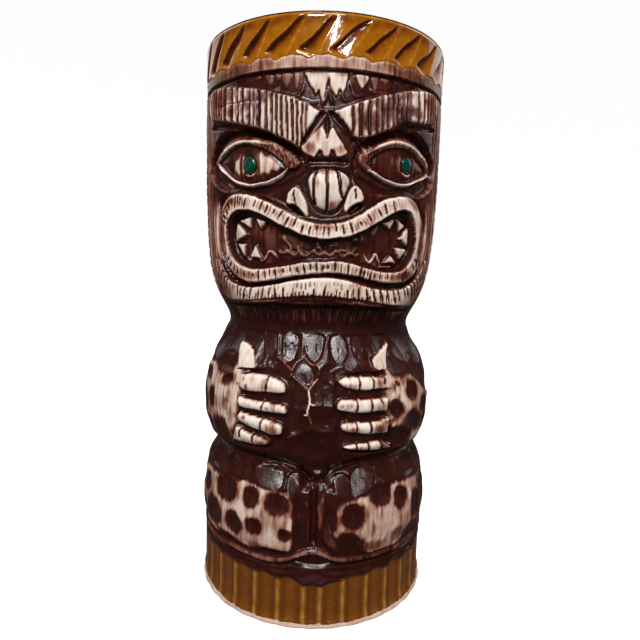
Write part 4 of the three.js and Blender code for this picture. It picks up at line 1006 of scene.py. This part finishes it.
def noise(tree, scale, detail=3.0, rough=0.55):
    """Random variation by place on the piece; scale is cells to the metre."""
    place = tree.nodes.new("ShaderNodeTexCoord")
    cloud = tree.nodes.new("ShaderNodeTexNoise")
    cloud.inputs["Scale"].default_value = scale
    cloud.inputs["Detail"].default_value = detail
    cloud.inputs["Roughness"].default_value = rough
    tree.links.new(place.outputs["Object"], cloud.inputs["Vector"])
    return cloud.outputs["Fac"]


def sums(tree, kind, first, second, clamp=False):
    step = tree.nodes.new("ShaderNodeMath")
    step.operation = kind
    step.use_clamp = clamp
    for socket, value in zip(step.inputs, (first, second)):
        if isinstance(value, (int, float)):
            socket.default_value = value
        else:
            tree.links.new(value, socket)
    return step.outputs["Value"]


def ramp(tree, source, stops):
    """Colour by a value: stops are place and sRGB colour."""
    scale = tree.nodes.new("ShaderNodeValToRGB")
    while len(scale.color_ramp.elements) < len(stops):
        scale.color_ramp.elements.new(0.5)
    for element, (place, colour) in zip(scale.color_ramp.elements, stops):
        element.position = place
        linear = [(c / 255 / 12.92 if c < 10.3 else ((c / 255 + 0.055) / 1.055) ** 2.4) for c in colour]
        element.color = (*linear, 1)
    tree.links.new(source, scale.inputs["Fac"])
    return scale.outputs["Color"]


def spread(tree, source, low, high, to_low, to_high):
    """Carries a value from one range to another."""
    step = tree.nodes.new("ShaderNodeMapRange")
    for name, value in (("From Min", low), ("From Max", high), ("To Min", to_low), ("To Max", to_high)):
        step.inputs[name].default_value = value
    tree.links.new(source, step.inputs["Value"])
    return step.outputs["Result"]


def rippled(tree, shader, height, distance, strength=1.0):
    bump = tree.nodes.new("ShaderNodeBump")
    bump.inputs["Distance"].default_value = distance
    bump.inputs["Strength"].default_value = strength
    tree.links.new(height, bump.inputs["Height"])
    tree.links.new(bump.outputs["Normal"], shader.inputs["Normal"])


# Stained clay: brown glaze stain flooded over the carving and wiped back to the pale body, which is matt.
stained_clay, tree, shader = blank_material("stained_clay")
wiped = tree.nodes.new("ShaderNodeAttribute")
wiped.attribute_name = "bare"
blotches = noise(tree, 260, 4)
specks = noise(tree, 2200, 2, 0.7)
soft = sums(tree, "MULTIPLY", sums(tree, "SUBTRACT", blotches, 0.5), 0.34)
grit = sums(tree, "MULTIPLY", sums(tree, "SUBTRACT", specks, 0.5), 0.16)
shown = sums(tree, "ADD", wiped.outputs["Fac"], sums(tree, "ADD", soft, grit), clamp=True)
stain_tint = ramp(tree, shown, (
    (0.0, (46, 13, 8)), (0.2, (80, 33, 22)), (0.42, (134, 82, 63)), (0.6, (182, 140, 120)),
    (0.8, (219, 196, 180)), (1.0, (238, 227, 215)),
))
tree.links.new(stain_tint, shader.inputs["Base Color"])
tree.links.new(spread(tree, shown, 0.15, 0.75, 0.26, 0.66), shader.inputs["Roughness"])
shader.inputs["Specular IOR Level"].default_value = 0.46
rippled(tree, shader, sums(tree, "ADD", specks, noise(tree, 700, 3)), 0.00012, 0.32)
clay_body.data.materials.append(stained_clay)
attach(clay_body, "root")
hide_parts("clay_body")

# ---------------------------------------------------------------------------------------------------------
# Rim glaze. An amber gloss glaze brushed over the rope-cut rim and fired. It lies thick and dark in the
# gouges, breaks thin and pale over their ridges, and ends in a scalloped edge on the clay collar.
# ---------------------------------------------------------------------------------------------------------
GLAZE_COLUMNS = 900
GLAZE = 0.7
GOUGE_DEPTH = 1.5
rim_across = np.linspace(-GIRTH / 2, GIRTH / 2, GLAZE_COLUMNS, endpoint=False)
rim_steps = np.linspace(0, 1, 52)


def rope(s, z):
    """Depth of the leaning gouges, distance past each one's steep wall, width left, and its reach."""
    wobble = 0.35 * np.sin(s * 0.31) + 0.25 * np.sin(s * 0.83 + 1.3)
    past = ((s + wobble - (z - ROPE_HEIGHT) * ROPE_LEAN + ROPE_START) / ROPE_PITCH) % 1 * ROPE_PITCH
    wide = 7.4 * np.clip((175 - z) / 11.6, 0, 1) ** 0.85 + 0.3
    foot = 165.4 - 0.39 * past
    reach = ease(foot - 0.5, foot + 0.9, z) * ease(174.2, 172.6, z)
    return ease(0.0, 1.3, past) * np.clip(1 - past / wide, 0, 1) ** 1.15 * reach, past, wide, reach


edge_height = glaze_edge(rim_across)
Z_RIM = edge_height + (TOP - 0.5 - edge_height) * rim_steps[:, None]
S_RIM = np.broadcast_to(rim_across, Z_RIM.shape)
gouge, past, wide, reach = rope(S_RIM, Z_RIM)
edge_swell = ease(0, 0.6, Z_RIM - edge_height)
lip_round = ease(TOP - 1.8, TOP - 0.4, Z_RIM) ** 2
rim_radius = trunk(Z_RIM) - 0.2 + 0.4 * edge_swell - GOUGE_DEPTH * gouge - 0.45 * lip_round
flicker = 0.7 + 0.3 * np.sin(S_RIM * 2.3 + Z_RIM * 1.7)
left_arris = np.exp(-((ROPE_PITCH - past) / 0.4) ** 2) * ease(164.6, 166.4, Z_RIM)
right_arris = np.exp(-((past - wide) / 0.4) ** 2) * ease(163.4, 164.6, Z_RIM)
thin = (0.55 * left_arris + 0.42 * right_arris) * flicker * ease(174, 172, Z_RIM)
thin = np.clip(thin + 0.75 * (1 - edge_swell) + 0.4 * ease(TOP - 1.3, TOP - 0.7, Z_RIM), 0, 1)
pool = reach * (0.62 * np.exp(-((past - 0.9) / 1.0) ** 2) + 0.36 * np.exp(-((past - 2.6) / 2.0) ** 2))
pool = np.clip(pool + 0.25 * ease(170.5, 173, Z_RIM) * ease(0.5, 2, past - wide), 0, 1)


def sleeve(name, radius, height, thickness, turned, attributes):
    """A closed band: an outer sheet of rings, and an inner one a thickness behind, joined at both edges."""
    outer = turn_out(radius, turned, height)
    inner = turn_out(radius - thickness, turned, height)
    sheets = np.concatenate([outer, inner[::-1]])
    count, columns = sheets.shape[:2]
    row, column = np.meshgrid(np.arange(count), np.arange(columns), indexing="ij")
    after, above = (column + 1) % columns, (row + 1) % count
    quads = np.stack([row * columns + column, row * columns + after, above * columns + after,
                      above * columns + column], -1).reshape(-1, 4)
    mesh = bpy.data.meshes.new(name)
    mesh.vertices.add(count * columns)
    mesh.vertices.foreach_set("co", (sheets * MM).astype(np.float32).ravel())
    mesh.loops.add(quads.size)
    mesh.loops.foreach_set("vertex_index", quads.astype(np.int32).ravel())
    mesh.polygons.add(len(quads))
    mesh.polygons.foreach_set("loop_start", np.arange(0, quads.size, 4, dtype=np.int32))
    mesh.update(calc_edges=True)
    mesh.polygons.foreach_set("use_smooth", np.ones(len(quads), bool))
    for label, values in attributes.items():
        both = np.concatenate([values, values[::-1]]).astype(np.float32)
        mesh.attributes.new(label, "FLOAT", "POINT").data.foreach_set("value", both.ravel())
    share = np.concatenate([np.linspace(0, 0.8, len(outer)), np.linspace(0.82, 0.99, len(inner)), [1.0]])
    u = np.stack([column, column + 1, column + 1, column], -1).reshape(-1, 4) / columns
    v = np.stack([share[row], share[row], share[row + 1], share[row + 1]], -1).reshape(-1, 4)
    chart = np.stack([u, v], -1).astype(np.float32)
    mesh.uv_layers.new(name="OFBake").data.foreach_set("uv", chart.ravel())
    piece = bpy.data.objects.new(name, mesh)
    bpy.context.scene.collection.objects.link(piece)
    return piece


rim_glaze = sleeve("rim_glaze_roped", rim_radius, Z_RIM, GLAZE, (S_RIM - DATUM_TO_NOSE) / UNROLL_RADIUS,
                   {"thin": thin, "pool": pool})


def glaze_material(name, stops, roughness, mottling, speckle, ripple):
    """A glossy glaze whose colour follows how thick it lies: pool, even coat, then thin over ridges."""
    material, tree, shader = blank_material(name)
    thin_at = tree.nodes.new("ShaderNodeAttribute")
    thin_at.attribute_name = "thin"
    pool_at = tree.nodes.new("ShaderNodeAttribute")
    pool_at.attribute_name = "pool"
    lie = sums(tree, "SUBTRACT", thin_at.outputs["Fac"], pool_at.outputs["Fac"])
    drift = sums(tree, "MULTIPLY", sums(tree, "SUBTRACT", noise(tree, 420, 4), 0.5), mottling)
    freckles = sums(tree, "MULTIPLY", sums(tree, "SUBTRACT", noise(tree, 2100, 3, 0.7), 0.5), speckle)
    lie = sums(tree, "ADD", sums(tree, "ADD", lie, drift), freckles)
    level = spread(tree, lie, -1, 1, 0, 1)
    tree.links.new(ramp(tree, level, stops), shader.inputs["Base Color"])
    gloss = spread(tree, noise(tree, 900, 3), 0.3, 0.7, roughness, roughness + 0.07)
    tree.links.new(gloss, shader.inputs["Roughness"])
    shader.inputs["Coat Weight"].default_value = 0.35
    shader.inputs["Coat Roughness"].default_value = 0.05
    rippled(tree, shader, noise(tree, 330, 2), ripple, 0.5)
    return material


AMBER_TINTS = ((0.0, (58, 14, 3)), (0.22, (98, 38, 0)), (0.5, (162, 95, 3)), (0.68, (182, 120, 36)),
               (0.88, (200, 158, 102)), (1.0, (208, 180, 142)))
amber = glaze_material("amber_glaze", AMBER_TINTS, roughness=0.07, mottling=0.72, speckle=0.42, ripple=0.0002)
rim_glaze.data.materials.append(amber)
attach(rim_glaze, "root")
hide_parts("rim_glaze")

# ---------------------------------------------------------------------------------------------------------
# Foot glaze. The same kind of glaze, browner, over the fluted plinth: round-topped channels with thin ridges
# between them that break yellow. Its ragged lower edge stops just above the unglazed foot.
# ---------------------------------------------------------------------------------------------------------
FOOT_EDGE = 1.12
FOOT_RADIUS = 38.15
FLUTE_DEPTH = 0.65
foot_across = np.linspace(-GIRTH / 2, GIRTH / 2, GLAZE_COLUMNS, endpoint=False)
to_ridge = flute_at(foot_across)[0]
foot_edge = FOOT_EDGE + 0.16 * np.sin(foot_across * 0.9) + 0.1 * np.sin(foot_across * 3.1)
foot_edge += np.exp(-(to_ridge / 0.6) ** 2) * (0.6 + 0.4 * np.sin(foot_across * 0.37))
foot_steps = np.linspace(0, 1, 56)
crown = hem_edge(foot_across)
Z_FOOT = foot_edge + (crown + 0.5 - foot_edge) * foot_steps[:, None]
channel = ease(0.1, 2.4, to_ridge) * ease(0, 1.2, crown - Z_FOOT) * ease(0.6, 2.4, Z_FOOT - foot_edge + 0.8)
foot_radius = FOOT_RADIUS + 0.1 * np.sin(foot_across * 0.2) - FLUTE_DEPTH * channel
foot_radius += 0.4 * ease(5, 1.2, Z_FOOT) - 0.35 * ease(0.45, 0, Z_FOOT - foot_edge)
ragged = 0.8 + 0.2 * np.sin(Z_FOOT * 0.9 + foot_across * 0.7)
foot_thin = 0.66 * ragged * np.exp(-(to_ridge / 0.62) ** 2) + 0.7 * ease(0.4, 0.0, Z_FOOT - foot_edge)
foot_thin = np.clip(foot_thin, 0, 1)
foot_pool = 0.22 * np.exp(-((to_ridge - 1.7) / 0.8) ** 2) + 0.7 * ease(1.1, 0.2, crown - Z_FOOT)
foot_glaze = sleeve("foot_glaze_fluted", foot_radius, Z_FOOT, GLAZE,
                    (np.broadcast_to(foot_across, Z_FOOT.shape) - DATUM_TO_NOSE) / UNROLL_RADIUS,
                    {"thin": foot_thin, "pool": foot_pool})
PLINTH_TINTS = ((0.0, (44, 20, 12)), (0.25, (76, 37, 13)), (0.5, (120, 66, 15)), (0.72, (164, 108, 38)),
                (0.9, (186, 142, 80)), (1.0, (196, 164, 120)))
plinth_glaze = glaze_material("plinth_glaze", PLINTH_TINTS, roughness=0.16, mottling=0.34, speckle=0.7,
                              ripple=0.0002)
foot_glaze.data.materials.append(plinth_glaze)
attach(foot_glaze, "root")
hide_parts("foot_glaze")

# ---------------------------------------------------------------------------------------------------------
# Liner glaze. Dark brown gloss glaze poured in, swilled round and tipped out: it lines the whole cavity and
# rolls over the lip, where it ends in a soft uneven edge above the amber.
# ---------------------------------------------------------------------------------------------------------
LINER = 0.5
liner_across = np.linspace(-GIRTH / 2, GIRTH / 2, 240, endpoint=False)
wave = 0.12 * np.sin(liner_across * 0.45) + 0.08 * np.sin(liner_across * 1.3 + 2)
lip_outer = trunk(TOP) - 0.3
lip_inner = trunk(TOP) - WALL
wall_side = [(float(trunk(z)) - WALL - 0.05, z) for z in np.arange(14, 172, 2.0)]
room_side = [(r - LINER, z) for r, z in wall_side]
clay_face = [(0, FLOOR + 0.05), (14, FLOOR + 0.05), (26, FLOOR + 0.05), (28.8, 7.3), (31, 8.9), (32.1, 11)]
room_face = [(31.6, 11.3), (30.6, 9.4), (28.5, 7.9), (25.8, FLOOR + LINER), (14, FLOOR + LINER),
             (0, FLOOR + LINER)]
lip_roll = [(lip_inner + 0.1, LIP - 1.6), (lip_inner + 0.5, LIP + 0.05), (lip_outer - 1.5, LIP + 0.05),
            (lip_outer - 1.2, TOP - 0.42), (lip_outer - 0.1, TOP - 0.5), (lip_outer + 0.12, TOP - 0.32),
            (lip_outer, TOP - 0.12), (lip_outer - 0.5, TOP), (lip_outer - 1.5, TOP),
            (lip_inner + 0.9, TOP), (lip_inner + 0.2, TOP - 0.3), (lip_inner - 0.3, TOP - 1.1),
            (lip_inner - LINER, TOP - 2.6)]
liner_profile = np.array(clay_face + wall_side + lip_roll + room_side[::-1] + room_face, float)
liner_rings = turn_out(liner_profile[:, :1], (liner_across - DATUM_TO_NOSE) / UNROLL_RADIUS,
                       liner_profile[:, 1:])
edge_rows = [n for n, (r, z) in enumerate(liner_profile) if TOP - 0.6 < z < TOP - 0.2 and r > lip_outer - 0.3]
liner_rings[edge_rows, :, 2] += wave * 0.6
liner = woven("liner_glaze_poured", liner_rings, np.zeros(liner_rings.shape[:2]),
              np.linspace(0, 1, len(liner_profile)))
liner_brown, tree, shader = blank_material("liner_brown")
cloud = sums(tree, "ADD", noise(tree, 120, 4), sums(tree, "MULTIPLY", noise(tree, 1500, 2), 0.25))
liner_tint = ramp(tree, cloud, ((0.35, (32, 13, 8)), (0.6, (48, 22, 14)), (0.85, (66, 34, 23))))
tree.links.new(liner_tint, shader.inputs["Base Color"])
tree.links.new(spread(tree, noise(tree, 600, 2), 0.3, 0.7, 0.08, 0.16), shader.inputs["Roughness"])
rippled(tree, shader, noise(tree, 160, 2), 0.0002, 0.4)
liner.data.materials.append(liner_brown)
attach(liner, "root")
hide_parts("liner_glaze")

# ---------------------------------------------------------------------------------------------------------
# Pupils. Two drops of green enamel, a soft coloured glass, dabbed on the eyeballs with a brush and fired on.
# Each stands a little proud of the clay, domed by its own surface tension.
# ---------------------------------------------------------------------------------------------------------
green_enamel, tree, shader = blank_material("green_enamel")
green_tint = ramp(tree, noise(tree, 900, 3), ((0.3, (0, 44, 34)), (0.55, (2, 70, 54)), (0.75, (10, 92, 72))))
tree.links.new(green_tint, shader.inputs["Base Color"])
tree.links.new(spread(tree, noise(tree, 1200, 2), 0.3, 0.7, 0.06, 0.14), shader.inputs["Roughness"])
shader.inputs["Coat Weight"].default_value = 0.6
shader.inputs["Coat Roughness"].default_value = 0.04
rippled(tree, shader, noise(tree, 800, 2), 0.0001, 0.4)
PUPIL_RISE = 0.8
for name, node, s0, z0, wide, tall, seed in (
    ("left_pupil", "left_pupil_enamel", -22.2, 135.8, 2.15, 2.35, 1),
    ("right_pupil", "right_pupil_enamel", 26.8, 137.4, 2.15, 2.1, 2),
):
    wobbly = np.random.default_rng(seed).uniform(-0.04, 0.04, 5)
    turn = np.linspace(0, 2 * math.pi, 48, endpoint=False)
    rim_shape = 1 + sum(w * np.cos((k + 2) * turn + k) for k, w in enumerate(wobbly))
    reach = np.concatenate([[0], np.linspace(0.08, 1, 14), [1.0, 0.6, 0]])
    rise = np.concatenate([PUPIL_RISE * np.sqrt(1 - np.linspace(0, 1, 15) ** 2 * 0.98), [-0.25, -0.3, -0.3]])
    s = s0 + reach[:, None] * rim_shape * wide * np.cos(turn)
    z = z0 + reach[:, None] * rim_shape * tall * np.sin(turn)
    column = np.clip(np.searchsorted(across, s), 0, len(across) - 1)
    row = np.clip(np.searchsorted(up, z), 0, len(up) - 1)
    seat = (trunk(z) + relief[row, column]).mean()
    drop = turn_out(seat + rise[:, None] + 0 * s, (s - DATUM_TO_NOSE) / UNROLL_RADIUS, z)
    pupil = woven(name, drop[::-1], np.zeros(drop.shape[:2]), np.linspace(0, 1, len(reach)))
    pupil.data.materials.append(green_enamel)
    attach(pupil, "root")
    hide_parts(node)

# ---------------------------------------------------------------------------------------------------------
# Studio. A seamless sweep of white paper, lit so evenly that it shows no edge, with soft boxes in front,
# above, beside and behind the mug. The camera stands close in front.
# ---------------------------------------------------------------------------------------------------------
BOWL_RADIUS = 1.1
BOWL_CURVE = 0.5
bend = [(0.0, 0.0), (0.4, 0.0), (BOWL_RADIUS, 0.0)]
bend += [(BOWL_RADIUS + BOWL_CURVE * math.sin(a), BOWL_CURVE - BOWL_CURVE * math.cos(a))
         for a in np.linspace(0.1, math.pi / 2, 12)]
bend += [(BOWL_RADIUS + BOWL_CURVE, 2.4)]
around = np.linspace(0, 2 * math.pi, 64, endpoint=False)
sweep = bpy.data.meshes.new("light_table")
sweep.from_pydata([(r * math.cos(a), r * math.sin(a), z) for r, z in bend for a in around], [],
                  [(64 * n + k, 64 * n + (k + 1) % 64, 64 * n + 64 + (k + 1) % 64, 64 * n + 64 + k)
                   for n in range(len(bend) - 1) for k in range(64)])
for face in sweep.polygons:
    face.use_smooth = True
backdrop = bpy.data.objects.new("light_table", sweep)
backdrop.visible_glossy = False
backdrop.visible_diffuse = False
bpy.context.scene.collection.objects.link(backdrop)
paper, tree, shader = blank_material("lit_paper")
tree.links.new(ramp(tree, noise(tree, 40, 3), ((0.3, (206, 205, 203)), (0.7, (212, 211, 210)))),
               shader.inputs["Base Color"])
tree.links.new(spread(tree, noise(tree, 400, 2), 0.3, 0.7, 0.82, 0.9), shader.inputs["Roughness"])
shader.inputs["Emission Color"].default_value = (1, 1, 1, 1)
shader.inputs["Emission Strength"].default_value = 0.87
sweep.materials.append(paper)
backdrop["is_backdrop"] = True

# Lamps: bearing from straight in front, elevation, distance, width, height, turn, power.
AIM = Vector((0, 0, 0.1))
for name, bearing, rise, far, wide, tall, turn, power in (
    ("key", -12, 38, 0.75, 0.16, 0.16, 0, 3.8), ("window", 6, 25, 0.7, 0.028, 0.17, -25, 0.7),
    ("right_fill", 74, 18, 0.8, 0.35, 0.6, 0, 1.7), ("left_fill", -72, 20, 0.8, 0.35, 0.5, 0, 1.2),
    ("top", 8, 64, 0.8, 0.16, 0.16, 0, 1.5), ("back_left", -138, 35, 0.9, 0.6, 0.7, 0, 1.2),
    ("back_right", 128, 35, 0.9, 0.6, 0.7, 0, 1.4), ("behind", 180, 30, 0.9, 0.6, 0.6, 0, 2.2),
):
    lamp = bpy.data.lights.new(name, "AREA")
    lamp.shape = "RECTANGLE"
    lamp.size, lamp.size_y = wide, tall
    lamp.energy = power
    light = bpy.data.objects.new(name, lamp)
    light.visible_glossy = not name.endswith("fill")
    flat = far * math.cos(math.radians(rise))
    spot = AIM + Vector((flat * math.sin(math.radians(bearing)), -flat * math.cos(math.radians(bearing)),
                         far * math.sin(math.radians(rise))))
    facing = (AIM - spot).to_track_quat("-Z", "Y").to_matrix().to_4x4()
    light.matrix_world = Matrix.Translation(spot) @ facing @ Matrix.Rotation(math.radians(turn), 4, "Z")
    bpy.context.scene.collection.objects.link(light)
sky = bpy.data.worlds.new("dim_surround")
sky.use_nodes = True
sky.node_tree.nodes["Background"].inputs["Color"].default_value = (1.0, 0.98, 0.96, 1)
sky.node_tree.nodes["Background"].inputs["Strength"].default_value = 0.06
bpy.context.scene.world = sky
bpy.context.scene.view_settings.view_transform = "Standard"

# The camera stands level with the jaw, looking slightly down, and is tilted a little on its side.
STAND_OFF = 185.85 * MM
EYE_LEVEL = 0.628 * TOP * MM
ASIDE = math.radians(-1.3)
LOOK = math.radians(-1.49)
DOWN = math.radians(6.5)
ROLL = math.radians(1.65)
lens = bpy.data.cameras.new("camera")
lens.sensor_width = 36
lens.lens = 29.86875
lens.clip_start = 0.01
camera = bpy.data.objects.new("camera", lens)
camera.matrix_world = (
    Matrix.Translation((STAND_OFF * math.sin(ASIDE), -STAND_OFF * math.cos(ASIDE), EYE_LEVEL))
    @ Matrix.Rotation(LOOK, 4, "Z")
    @ Matrix.Rotation(math.pi / 2 - DOWN, 4, "X")
    @ Matrix.Rotation(ROLL, 4, "Z")
)
bpy.context.scene.collection.objects.link(camera)
bpy.context.scene.camera = camera

low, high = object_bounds()
